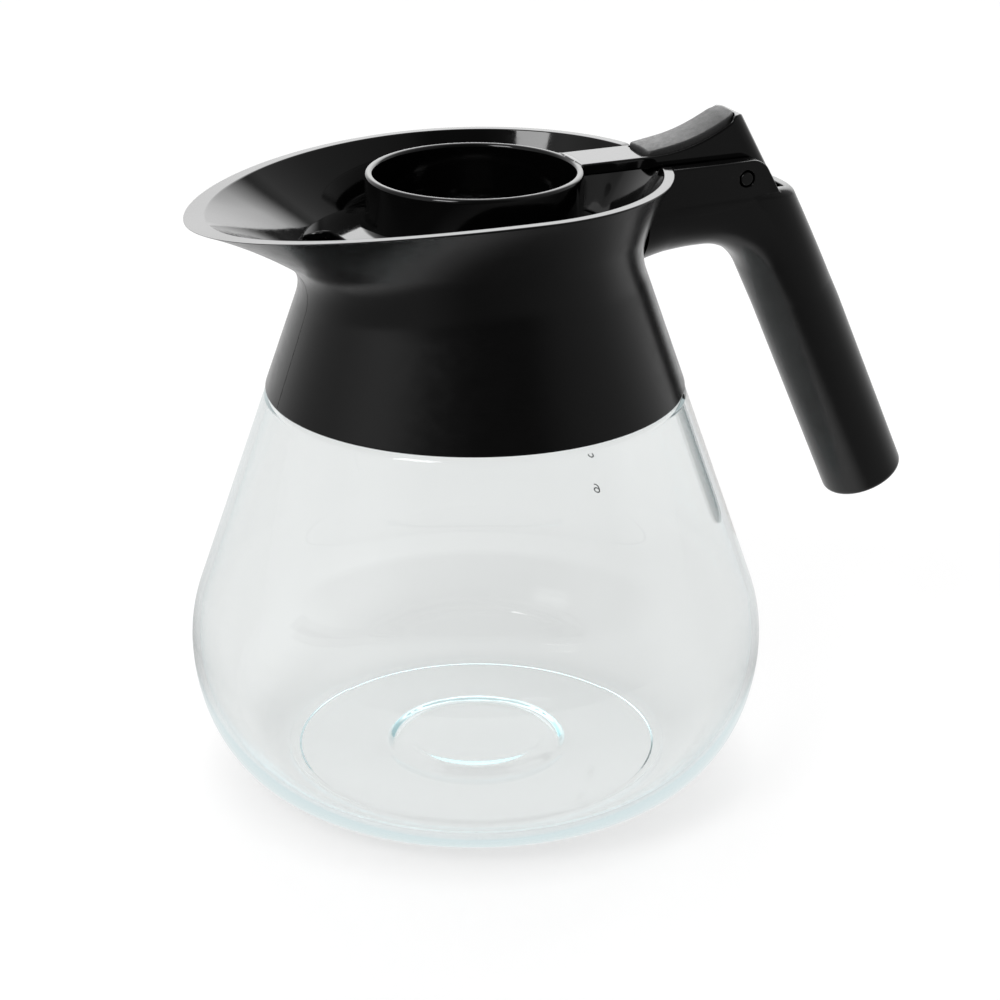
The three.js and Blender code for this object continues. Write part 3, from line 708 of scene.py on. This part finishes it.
def pad_field(x, y, z):
    depth = np.hypot(x - HOLLOW_X, z - HOLLOW_Z)
    place = np.clip((x - HOLLOW_X + PAD_LEAD) / (PAD_END - HOLLOW_X + PAD_LEAD), 0, 1)
    swell = PAD_SWELL * (1 - (2 * place - 1) ** 4)
    swell = swell - PAD_REAR_DROP * np.maximum(0, 1 - (1 - place) / PAD_REAR_SHARE) ** 2
    crown = THUMB_RADIUS - PAD_PROUD - swell - depth + PAD_CROWN * y * y
    shape = both(pad_plan(x, y, 0), crown, PAD_EDGE)
    return np.maximum(shape, depth - THUMB_RADIUS - PAD_SUNK + SEAT_GAP)


def lid_field(x, y, z):
    r, angle = np.hypot(x, y), np.arctan2(y, x)
    inside = RING_RADIUS - RING_WALL
    crown = RING_WALL / 2
    ring = both(np.abs(r - inside - crown) - crown, z - RING_TOP, crown * 0.96)
    ring = np.maximum(ring, FLOOR_TOP - DISC_THICKNESS - z)
    fall = DRIP_FALL / (inside - DRIP_HOLE)
    floor_z = FLOOR_TOP - fall * np.clip(inside - r, 0, inside - DRIP_HOLE)
    floor = np.abs(z - floor_z + DISC_THICKNESS / 2) / math.hypot(1, fall) - DISC_THICKNESS / 2
    floor = both(np.maximum(floor, r - inside - crown), DRIP_HOLE - r, DISC_EDGE)
    edge = disc_edge(angle, DISC_EDGE_TOP)
    slope = DISC_FALL / (edge - RING_RADIUS)
    disc_z = DISC_TOP - slope * (r - RING_RADIUS)
    disc = np.abs(z - disc_z + DISC_THICKNESS / 2) / np.hypot(1, slope) - DISC_THICKNESS / 2
    disc = both(disc, r - disc_edge(angle, z), DISC_EDGE)
    disc = np.maximum(disc, inside + crown - r)
    corner = both(x + NOTCH_FROM_AXIS, np.abs(y) - NOTCH_HALF_WIDTH, NOTCH_CORNER)
    disc = without(disc, corner, NOTCH_EDGE)
    body = either(ring, disc, RING_FILLET)
    body = either(body, floor, RING_FILLET)
    lever = lever_field(x, y, z)
    lever = np.maximum(lever, inside + SEAT_GAP - r)
    body = either(body, lever, LEVER_FILLET)
    depth = np.hypot(x - HOLLOW_X, z - HOLLOW_Z)
    recess = np.maximum(pad_plan(x, y, SEAT_GAP), depth - THUMB_RADIUS - PAD_SUNK)
    body = without(body, recess, PAD_RECESS_EDGE)
    return without(body, np.hypot(x - PIN_X, z - PIN_Z) - PIN_HOLE)


# Glass

def glass_profile():
    step_foot, step_top = SKIRT_FOOT - STEP_BELOW, SKIRT_FOOT + STEP_ABOVE
    reach = (step_top - step_foot) / 2
    rise = np.array([-math.sin(CONE), math.cos(CONE)]) * reach
    foot = np.array([bowl_cone(step_foot), step_foot])
    neck = np.array([neck_radius(step_top), step_top])
    half = (PUSH_UP_RADIUS - PUSH_UP_TOP) / 2
    ring_in = FOOT_RADIUS - FOOT_RING
    belly = [
        (FOOT_RADIUS + (BELLY_RADIUS - FOOT_RADIUS) * math.cos(a), BELLY_HEIGHT * (1 + math.sin(a)))
        for a in np.linspace(-math.pi / 2, 0, 40)
    ]
    outside = (
        line((0, PUSH_UP_HEIGHT), (PUSH_UP_TOP, PUSH_UP_HEIGHT), 8)
        + bezier([
            (PUSH_UP_TOP, PUSH_UP_HEIGHT), (PUSH_UP_TOP + half, PUSH_UP_HEIGHT),
            (PUSH_UP_RADIUS - half, FOOT_RISE), (PUSH_UP_RADIUS, FOOT_RISE),
        ], 16)[:-1]
        + line((PUSH_UP_RADIUS, FOOT_RISE), (ring_in - 0.5, FOOT_RISE), 8)
        + bezier([(ring_in - 0.5, FOOT_RISE), (ring_in, FOOT_RISE), (ring_in, 0), (ring_in + 0.5, 0)], 8)[:-1]
        + line((ring_in + 0.5, 0), (FOOT_RADIUS, 0), 2)
        + belly[:-1]
        + arc(BELLY_RADIUS - SHOULDER_RADIUS, BELLY_HEIGHT, SHOULDER_RADIUS, 0, CONE, 10)[:-1]
        + line((CONE_FOOT_RADIUS, CONE_FOOT_HEIGHT), foot, 16)
        + bezier([foot, foot + rise, neck - rise, neck], 14)[:-1]
        + line(neck, (neck_radius(MOUTH_HEIGHT), MOUTH_HEIGHT - GLASS_WALL / 2), 8)
        + [(neck_radius(MOUTH_HEIGHT), MOUTH_HEIGHT - GLASS_WALL / 2)]
    )
    outside = np.array(outside, float)
    flat = outside.copy()
    in_ring = (flat[:, 0] > PUSH_UP_RADIUS) & (flat[:, 0] <= FOOT_RADIUS)
    flat[in_ring & (flat[:, 1] < FOOT_RISE), 1] = FOOT_RISE
    along = np.gradient(flat, axis=0)
    along /= np.linalg.norm(along, axis=1)[:, None]
    depth = np.maximum(0, 1 - flat[:, 1] / BELLY_HEIGHT)
    wall = GLASS_WALL + (BASE_THICKNESS - GLASS_WALL) * depth ** 2
    inside = flat + np.stack([-along[:, 1], along[:, 0]], 1) * wall[:, None]
    inside[0] = (0, outside[0, 1] + wall[0])
    a, b = outside[-1], inside[-1]
    middle, half_wall = (a + b) / 2, (a - b) / 2
    up = np.array([0, GLASS_WALL / 2])
    turns = np.linspace(0, math.pi, 9)[1:-1]
    lip = [tuple(middle + half_wall * math.cos(t) + up * math.sin(t)) for t in turns]
    return [tuple(p) for p in outside] + lip + [tuple(p) for p in inside[::-1]]


# Numbers of the level scale

def stroke(path, width, thick):
    """A flat band on the outside of the glass along (round, up) points about the number's place."""
    path = np.array(path, float)
    way = np.gradient(path, axis=0)
    way /= np.linalg.norm(way, axis=1)[:, None]
    side = np.stack([-way[:, 1], way[:, 0]], 1) * width / 2
    rows = []
    top = SCALE_LIFT + thick
    for lift, edge in ((SCALE_LIFT, -1), (SCALE_LIFT, 1), (top, 1), (top, -1)):
        rows.append(np.column_stack([path + side * edge, np.full(len(path), lift)]))
    rows = np.stack(rows, 1)
    n = len(path)
    quads = [
        (4 * i + j, 4 * i + (j + 1) % 4, 4 * i + 4 + (j + 1) % 4, 4 * i + 4 + j)
        for i in range(n - 1) for j in range(4)
    ]
    ends = [(3, 2, 1, 0), tuple(4 * n - 4 + j for j in range(4))]
    return rows.reshape(-1, 3), np.array(quads + ends, int)


def scale_number(loops, height, turn):
    """A plain number on the outside of the glass."""
    points, faces, count = [], [], 0
    for path in loops:
        band_points, band_faces = stroke(path, SCALE_STROKE, SCALE_THICKNESS)
        points.append(band_points)
        faces.append(band_faces + count)
        count += len(band_points)
    across, up, lift = np.vstack(points).T
    z = height + up * math.cos(CONE)
    r = bowl_cone(z) + lift
    angle = turn + across / bowl_cone(height)
    return np.stack([r * np.cos(angle), r * np.sin(angle), z], 1), [np.vstack(faces)]


def loop(cx, cz, rx, rz, start, end):
    return [(cx + rx * math.cos(a), cz + rz * math.sin(a)) for a in np.linspace(start, end, 28)]


EIGHT = (loop(0, 0.78, 0.72, 0.72, 0, 2 * math.pi), loop(0, -0.82, 0.9, 0.86, 0, 2 * math.pi))
SIX = (
    loop(0, -0.75, 0.92, 0.9, 0, 2 * math.pi),
    bezier([(-0.9, -0.72), (-1.05, 0.7), (-0.5, 1.75), (0.75, 1.45)], 16),
)


# Materials

LAST_BOUNCE = 2.5


def material(name, **values):
    made = bpy.data.materials.new(name)
    made.use_nodes = True
    shader = made.node_tree.nodes["Principled BSDF"]
    for key, value in values.items():
        shader.inputs[key.replace("_", " ")].default_value = value
    return made, made.node_tree, shader


def noise(tree, scale, detail=2.0, roughness=0.5):
    place = tree.nodes.new("ShaderNodeTexCoord")
    made = tree.nodes.new("ShaderNodeTexNoise")
    made.inputs["Scale"].default_value = scale
    made.inputs["Detail"].default_value = detail
    made.inputs["Roughness"].default_value = roughness
    tree.links.new(place.outputs["Object"], made.inputs["Vector"])
    return made.outputs["Fac"]


def spread(tree, value, low, high, out_low, out_high):
    made = tree.nodes.new("ShaderNodeMapRange")
    for key, number in (("From Min", low), ("From Max", high), ("To Min", out_low), ("To Max", out_high)):
        made.inputs[key].default_value = number
    tree.links.new(value, made.inputs["Value"])
    return made.outputs["Result"]


def math_node(tree, operation, a, b):
    made = tree.nodes.new("ShaderNodeMath")
    made.operation = operation
    for socket, value in zip(made.inputs, (a, b)):
        if isinstance(value, (int, float)):
            socket.default_value = value
        else:
            tree.links.new(value, socket)
    return made.outputs[0]


def bump(tree, shader, height, strength, distance):
    made = tree.nodes.new("ShaderNodeBump")
    made.inputs["Strength"].default_value = strength
    made.inputs["Distance"].default_value = distance
    tree.links.new(height, made.inputs["Height"])
    tree.links.new(made.outputs["Normal"], shader.inputs["Normal"])


def tinted(tree, shader, value, low, high, dark, light):
    ramp = tree.nodes.new("ShaderNodeValToRGB")
    ramp.color_ramp.elements[0].position = low
    ramp.color_ramp.elements[1].position = high
    ramp.color_ramp.elements[0].color = (*dark, 1)
    ramp.color_ramp.elements[1].color = (*light, 1)
    tree.links.new(value, ramp.inputs["Fac"])
    tree.links.new(ramp.outputs["Color"], shader.inputs["Base Color"])


def satin_plastic():
    """Black moulding with a fine spark-eroded grain."""
    made, tree, shader = material("satin_black", Roughness=0.22, Specular_IOR_Level=0.5)
    grain = noise(tree, 3200, 3, 0.6)
    tinted(tree, shader, noise(tree, 90, 4, 0.6), 0.3, 0.75, (0.002, 0.002, 0.002), (0.0028, 0.0028, 0.0028))
    tree.links.new(spread(tree, noise(tree, 260, 3), 0.3, 0.7, 0.19, 0.25), shader.inputs["Roughness"])
    bump(tree, shader, grain, 0.12, 0.00006)
    return made


def gloss_plastic():
    """Polished black moulding with a faint flow of the melt."""
    made, tree, shader = material("gloss_black", Roughness=0.07, Specular_IOR_Level=0.5)
    tinted(tree, shader, noise(tree, 60, 3), 0.3, 0.75, (0.0018, 0.0018, 0.0018), (0.0024, 0.0024, 0.0024))
    haze = noise(tree, 420, 4, 0.65)
    tree.links.new(spread(tree, haze, 0.35, 0.75, 0.05, 0.11), shader.inputs["Roughness"])
    bump(tree, shader, noise(tree, 140, 2), 0.04, 0.0001)
    return made


def soft_pad():
    """Grey soft-touch rubber with a fine open grain."""
    made, tree, shader = material("soft_grey", Roughness=0.5, Specular_IOR_Level=0.6)
    grain = noise(tree, 2600, 3, 0.7)
    tinted(tree, shader, noise(tree, 1800, 3, 0.6), 0.32, 0.72, (0.038, 0.038, 0.0382), (0.06, 0.06, 0.06))
    tree.links.new(spread(tree, noise(tree, 700, 3), 0.3, 0.7, 0.44, 0.56), shader.inputs["Roughness"])
    bump(tree, shader, grain, 0.35, 0.0001)
    return made


def silicone():
    made, tree, shader = material("silicone", Roughness=0.5, Subsurface_Weight=0.2)
    shader.inputs["Subsurface Radius"].default_value = (0.002, 0.002, 0.002)
    tinted(tree, shader, noise(tree, 120, 3), 0.3, 0.7, (0.62, 0.62, 0.6), (0.7, 0.7, 0.68))
    bump(tree, shader, noise(tree, 900, 3), 0.1, 0.0001)
    return made


def clear_glass():
    """Clear blown glass with a faint ripple, which lets the lamps through.

    A ray that is still in the wall after the last bounce goes straight out with the tint of the edge,
    where the limit of glossy bounces would leave it black.
    """
    made, tree, shader = material("clear_glass", Roughness=0.0, IOR=1.47, Transmission_Weight=1.0)
    shader.inputs["Base Color"].default_value = (0.985, 0.995, 0.992, 1)
    bump(tree, shader, noise(tree, 38, 1), 0.03, 0.0006)
    through = tree.nodes.new("ShaderNodeBsdfTransparent")
    graze = tree.nodes.new("ShaderNodeLayerWeight")
    graze.inputs["Blend"].default_value = 0.5
    shade = tree.nodes.new("ShaderNodeValToRGB")
    shade.color_ramp.elements[0].color = (0.97, 0.975, 0.975, 1)
    shade.color_ramp.elements[1].color = (0.3, 0.31, 0.31, 1)
    shade.color_ramp.elements[0].position = 0.35
    tree.links.new(graze.outputs["Facing"], shade.inputs["Fac"])
    tree.links.new(shade.outputs["Color"], through.inputs["Color"])
    absorb = tree.nodes.new("ShaderNodeVolumeAbsorption")
    absorb.inputs["Color"].default_value = (0.62, 0.93, 0.95, 1)
    absorb.inputs["Density"].default_value = 3.5
    tree.links.new(absorb.outputs["Volume"], tree.nodes["Material Output"].inputs["Volume"])
    path = tree.nodes.new("ShaderNodeLightPath")
    mix = tree.nodes.new("ShaderNodeMixShader")
    bare = math_node(tree, "MAXIMUM", path.outputs["Is Shadow Ray"], path.outputs["Is Diffuse Ray"])
    tree.links.new(bare, mix.inputs["Fac"])
    tree.links.new(shader.outputs["BSDF"], mix.inputs[1])
    tree.links.new(through.outputs["BSDF"], mix.inputs[2])
    late = math_node(tree, "GREATER_THAN", path.outputs["Glossy Depth"], LAST_BOUNCE)
    out_again = tree.nodes.new("ShaderNodeBsdfTransparent")
    out_again.inputs["Color"].default_value = (0.72, 0.84, 0.86, 1)
    end = tree.nodes.new("ShaderNodeMixShader")
    tree.links.new(late, end.inputs["Fac"])
    tree.links.new(mix.outputs["Shader"], end.inputs[1])
    tree.links.new(out_again.outputs["BSDF"], end.inputs[2])
    tree.links.new(end.outputs["Shader"], tree.nodes["Material Output"].inputs["Surface"])
    return made


def printed_ink():
    made, tree, shader = material("scale_ink", Roughness=0.6)
    tinted(tree, shader, noise(tree, 1500, 3), 0.3, 0.7, (0.36, 0.36, 0.36), (0.44, 0.44, 0.44))
    return made


satin = satin_plastic()
gloss = gloss_plastic()
pad_rubber = soft_pad()
soft_white = silicone()
glass = clear_glass()
ink = printed_ink()

# Pieces
fine = 0.45

points, faces = turned(glass_profile(), 192)
piece("carafe_glass", points, faces, "base", [glass], ["glass_bowl"])

scale = (("scale_eight", EIGHT, SCALE_EIGHT_HEIGHT), ("scale_six", SIX, SCALE_SIX_HEIGHT))
for name, loops, height in scale:
    points, faces = scale_number(loops, height, SCALE_TURN)
    piece(name, points, faces, "base", [ink])

points, faces, index = collar_mesh(320)
piece("pouring_collar", points, faces, "base", [satin, gloss], ["collar"], index=index)

points, faces, normals = net(
    handle_field, (RIM_BACK - 8, -GRIP_RADIUS - 1, 60), (146, GRIP_RADIUS + 1, 176), fine,
)
piece("handle_grip", points, faces, "base", [satin], ["handle"], normals=normals)

points, faces, normals = net(lid_field, (-49, -45, 148), (96, 45, 190), fine)
piece("brew_lid", points, faces, "lid", [gloss], ["lid"], normals=normals)

points, faces, normals = net(pad_field, (HOLLOW_X - 3, -8, 170), (PAD_END + 3, 8, 190), fine / 2)
piece("lever_pad", points, faces, "lid", [pad_rubber], ["thumb_pad"], normals=normals)


def pin_profile(radius, half, edge):
    return (
        [(0, -half)] + arc(radius - edge, edge - half, edge, -math.pi / 2, 0, 5)
        + arc(radius - edge, half - edge, edge, 0, math.pi / 2, 5) + [(0, half)]
    )


points, faces = turned(pin_profile(PIN_RADIUS, GRIP_RADIUS - 0.15, 0.35), 32)
points = points[:, [0, 2, 1]] * [1, 1, -1] + [PIN_X, 0, PIN_Z]
piece("pivot_pin", points, faces, "base", [satin], ["hinge_pin"])

points, faces = turned(
    [(r, z - GRIP_LENGTH + SEAT_GAP + PLUG_LENGTH / 2)
     for r, z in pin_profile(GRIP_RADIUS - GRIP_WALL - SEAT_GAP, PLUG_LENGTH / 2, 0.5)], 64,
)
c, s = math.cos(GRIP_TILT), math.sin(GRIP_TILT)
points = points @ np.array([[c, 0, s], [0, 1, 0], [-s, 0, c]]) + [PIN_X + GRIP_BEHIND_PIN, 0, LEDGE_Z]
piece("grip_plug", points, faces, "base", [satin], ["grip_end_plug"])


def band(low, high, inner_low, outer_low, inner_high, outer_high):
    return [(inner_low, low), (outer_low, low), (outer_high, high), (inner_high, high)]


under = MOUTH_HEIGHT + SEAT_GAP
gasket_out = skirt_radius(under + GASKET) - SKIRT_WALL - SEAT_GAP
gasket_in = THROAT_RADIUS - THROAT_FLANGE + SEAT_GAP
points, faces = turned(band(under, under + GASKET, gasket_in, gasket_out, gasket_in, gasket_out), 128)
piece("lip_gasket", points, faces, "base", [soft_white], ["mouth_gasket"])

low, high = SKIRT_FOOT + SEAL_ABOVE_FOOT, SKIRT_FOOT + SEAL_ABOVE_FOOT + SEAL_HEIGHT
points, faces = turned(band(
    low, high, neck_radius(low) + SEAT_GAP, neck_radius(low) + NECK_GAP - SEAT_GAP,
    neck_radius(high) + SEAT_GAP, neck_radius(high) + NECK_GAP - SEAT_GAP,
), 128)
piece("neck_seal", points, faces, "base", [soft_white], ["skirt_seal"])


# Floor, light and camera

BACK = (0.399, 0.917, 0.0)
RIGHT = (0.917, -0.399, 0.0)
FLOOR_SHARE = 0.35
FLOOR_GLOW = 0.76
# Painted shadow: the floor glows less close round the bowl's foot, and less to rays through the glass
FLOOR_SHADOW_GLOW = 0.62
GLASS_GLOW = 0.57
# Painted light on the floor, seen only in reflections: brighter near the carafe
TABLE_NEAR = 0.9
SHADOW_RUN = (0.062, 0.083)
NEAR_RUN = (0.1, 0.18)

# Brightness of the room by direction, in degrees to the right of the way to the backdrop
ROOM = (
    (-180, 0.06), (-155, 0.13), (-132, 0.5), (-120, 0.55), (-95, 0.35), (-78, 0.36), (-62, 0.5), (-46, 0.85),
    (0, 0.95), (40, 0.7), (49, 0.32), (58, 0.55), (92, 0.3), (124, 0.2), (145, 0.07), (180, 0.06),
)
BACKDROP = ((-180, 0), (-34, 0), (-14, 1), (30, 1), (47, 0), (180, 0))
BACKDROP_RISE = ((0, 0.8), (10, 1.1), (20, 2.2), (28, 3.0), (40, 2.8), (52, 0.5), (62, 0), (90, 0))
BEHIND = ((-180, 0), (-112, 0), (-92, 1), (92, 1), (112, 0), (180, 0))
STRIP = ((-180, 0), (-154, 0), (-151, 1), (-137, 1), (-134, 0), (180, 0))
STRIP_RISE = ((0, 0), (24, 0), (27, 1.1), (34, 0.7), (40, 0), (90, 0))
# Painted light on the floor, seen only in reflections: its glow by direction round the carafe
TABLE = (
    (-180, 0.10), (-150, 0.25), (-100, 0.26), (-80, 0.36), (-60, 0.58), (-40, 0.85), (0, 1.0), (45, 0.8),
    (90, 0.32), (150, 0.14), (180, 0.10),
)


def along(tree, source, way):
    made = tree.nodes.new("ShaderNodeVectorMath")
    made.operation = "DOT_PRODUCT"
    made.inputs[1].default_value = way
    tree.links.new(source, made.inputs[0])
    return made.outputs["Value"]


def curve(tree, degrees, stops):
    """A value that follows an angle through the stops given."""
    low, high = stops[0][0], stops[-1][0]
    top = max(level for _, level in stops)
    ramp = tree.nodes.new("ShaderNodeValToRGB")
    points = ramp.color_ramp.elements
    for k, (angle, level) in enumerate(stops):
        ends = {0: 0, len(stops) - 1: -1}
        point = points[ends[k]] if k in ends else points.new((angle - low) / (high - low))
        point.color = (level / top, level / top, level / top, 1)
    tree.links.new(spread(tree, degrees, low, high, 0, 1), ramp.inputs["Fac"])
    return math_node(tree, "MULTIPLY", ramp.outputs["Color"], top)


def around(tree, source):
    turn = math_node(tree, "ARCTAN2", along(tree, source, RIGHT), along(tree, source, BACK))
    return math_node(tree, "MULTIPLY", turn, 180 / math.pi)


def studio_floor():
    """White to the camera, with a painted shadow as less glow round the bowl's foot, and a little dimmer
    through the glass as painted shade. To gloss it glows with painted light, as bright as the table is on
    each side.
    """
    bpy.ops.mesh.primitive_plane_add(size=12, location=(0, 0, -0.0002))
    floor = bpy.context.object
    floor.name = "studio_floor"
    floor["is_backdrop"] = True
    made = bpy.data.materials.new("studio_floor")
    made.use_nodes = True
    tree = made.node_tree
    tree.nodes.clear()
    out = tree.nodes.new("ShaderNodeOutputMaterial")
    matt = tree.nodes.new("ShaderNodeBsdfDiffuse")
    matt.inputs["Color"].default_value = (FLOOR_SHARE, FLOOR_SHARE, FLOOR_SHARE, 1)
    glow = tree.nodes.new("ShaderNodeEmission")
    shine = tree.nodes.new("ShaderNodeEmission")
    path = tree.nodes.new("ShaderNodeLightPath")
    place = tree.nodes.new("ShaderNodeNewGeometry")
    apart = tree.nodes.new("ShaderNodeVectorMath")
    apart.operation = "DISTANCE"
    apart.inputs[1].default_value = (AXIS_X, 0, 0)
    tree.links.new(place.outputs["Position"], apart.inputs[0])
    # Painted shadow: less glow to the camera close round the bowl
    under = spread(tree, apart.outputs["Value"], *SHADOW_RUN, FLOOR_SHADOW_GLOW, FLOOR_GLOW)
    bare = math_node(tree, "MULTIPLY", path.outputs["Is Camera Ray"], under)
    # Painted shade: less glow to rays through the glass
    glazed = math_node(tree, "MULTIPLY", path.outputs["Is Transmission Ray"], GLASS_GLOW)
    tree.links.new(math_node(tree, "ADD", bare, glazed), glow.inputs["Strength"])
    # Painted light: the floor's glow to glossy rays, brighter near the carafe and by direction
    near = spread(tree, apart.outputs["Value"], *NEAR_RUN, TABLE_NEAR, 0)
    table = curve(tree, around(tree, place.outputs["Position"]), TABLE)
    tree.links.new(math_node(tree, "MAXIMUM", near, table), shine.inputs["Strength"])
    add = tree.nodes.new("ShaderNodeAddShader")
    tree.links.new(matt.outputs[0], add.inputs[0])
    tree.links.new(glow.outputs[0], add.inputs[1])
    mix = tree.nodes.new("ShaderNodeMixShader")
    mirrored = math_node(tree, "SUBTRACT", path.outputs["Is Glossy Ray"], path.outputs["Is Transmission Ray"])
    tree.links.new(mirrored, mix.inputs["Fac"])
    tree.links.new(add.outputs[0], mix.inputs[1])
    tree.links.new(shine.outputs[0], mix.inputs[2])
    tree.links.new(mix.outputs[0], out.inputs["Surface"])
    floor.data.materials.append(made)


def studio_world():
    """A pale room, dark behind the camera, with a lit backdrop that is white to the camera and the glass."""
    world = bpy.data.worlds.new("studio")
    bpy.context.scene.world = world
    world.use_nodes = True
    tree = world.node_tree
    ground = tree.nodes["Background"]
    ground.inputs["Color"].default_value = (1, 1, 1, 1)
    way = tree.nodes.new("ShaderNodeTexCoord").outputs["Generated"]
    path = tree.nodes.new("ShaderNodeLightPath")
    angle = around(tree, way)
    rise = math_node(tree, "ARCSINE", along(tree, way, (0, 0, 1)), 0)
    rise = math_node(tree, "MULTIPLY", rise, 180 / math.pi)
    lit = math_node(tree, "MULTIPLY", curve(tree, angle, BACKDROP), curve(tree, rise, BACKDROP_RISE))
    room = math_node(tree, "ADD", curve(tree, angle, ROOM), lit)
    glazed = math_node(tree, "MULTIPLY", path.outputs["Is Transmission Ray"], curve(tree, angle, BEHIND))
    seen = math_node(tree, "MAXIMUM", path.outputs["Is Camera Ray"], glazed)
    dim = math_node(tree, "MULTIPLY", room, math_node(tree, "SUBTRACT", 1, seen))
    strip = math_node(tree, "MULTIPLY", curve(tree, angle, STRIP), curve(tree, rise, STRIP_RISE))
    strip = math_node(tree, "MULTIPLY", strip, path.outputs["Is Transmission Ray"])
    light = math_node(tree, "ADD", math_node(tree, "ADD", seen, dim), strip)
    tree.links.new(light, ground.inputs["Strength"])


def lamp(name, degrees, rise, distance, size_x, size_y, power):
    """A softbox at an angle round from the backdrop and over the floor, turned to the carafe."""
    data = bpy.data.lights.new(name, "AREA")
    data.shape = "RECTANGLE"
    data.size, data.size_y = size_x, size_y
    data.energy = power
    obj = bpy.data.objects.new(name, data)
    bpy.context.scene.collection.objects.link(obj)
    turn, lift = math.radians(degrees), math.radians(rise)
    level = Vector(BACK) * math.cos(turn) + Vector(RIGHT) * math.sin(turn)
    way = level * math.cos(lift) + Vector((0, 0, math.sin(lift)))
    obj.location = Vector((0, 0, 0.14)) + way * distance
    obj.rotation_euler = (-way).to_track_quat("-Z", "Y").to_euler()
    obj.visible_transmission = False


studio_floor()
studio_world()
lamp("key_softbox", -144, 42, 1.4, 0.46, 0.52, 6.2)

EYE = Vector((-0.28012415, -0.66179348, 0.37391741))
AHEAD = Vector((0.36895704, 0.84865052, -0.37902902))
ASIDE = Vector((0.91707853, -0.39870662, 0.0))
camera = bpy.data.cameras.new("camera")
camera.sensor_width = 36
camera.lens = 97.96441
camera.clip_start, camera.clip_end = 0.01, 50
eye = bpy.data.objects.new("camera", camera)
bpy.context.scene.collection.objects.link(eye)
turn = Matrix((ASIDE, ASIDE.cross(AHEAD), -AHEAD)).transposed().to_4x4()
eye.matrix_world = Matrix.Translation(EYE + Vector((AXIS_X, 0, 0))) @ turn
bpy.context.scene.camera = eye
bpy.context.scene.view_settings.view_transform = "Standard"

low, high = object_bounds()
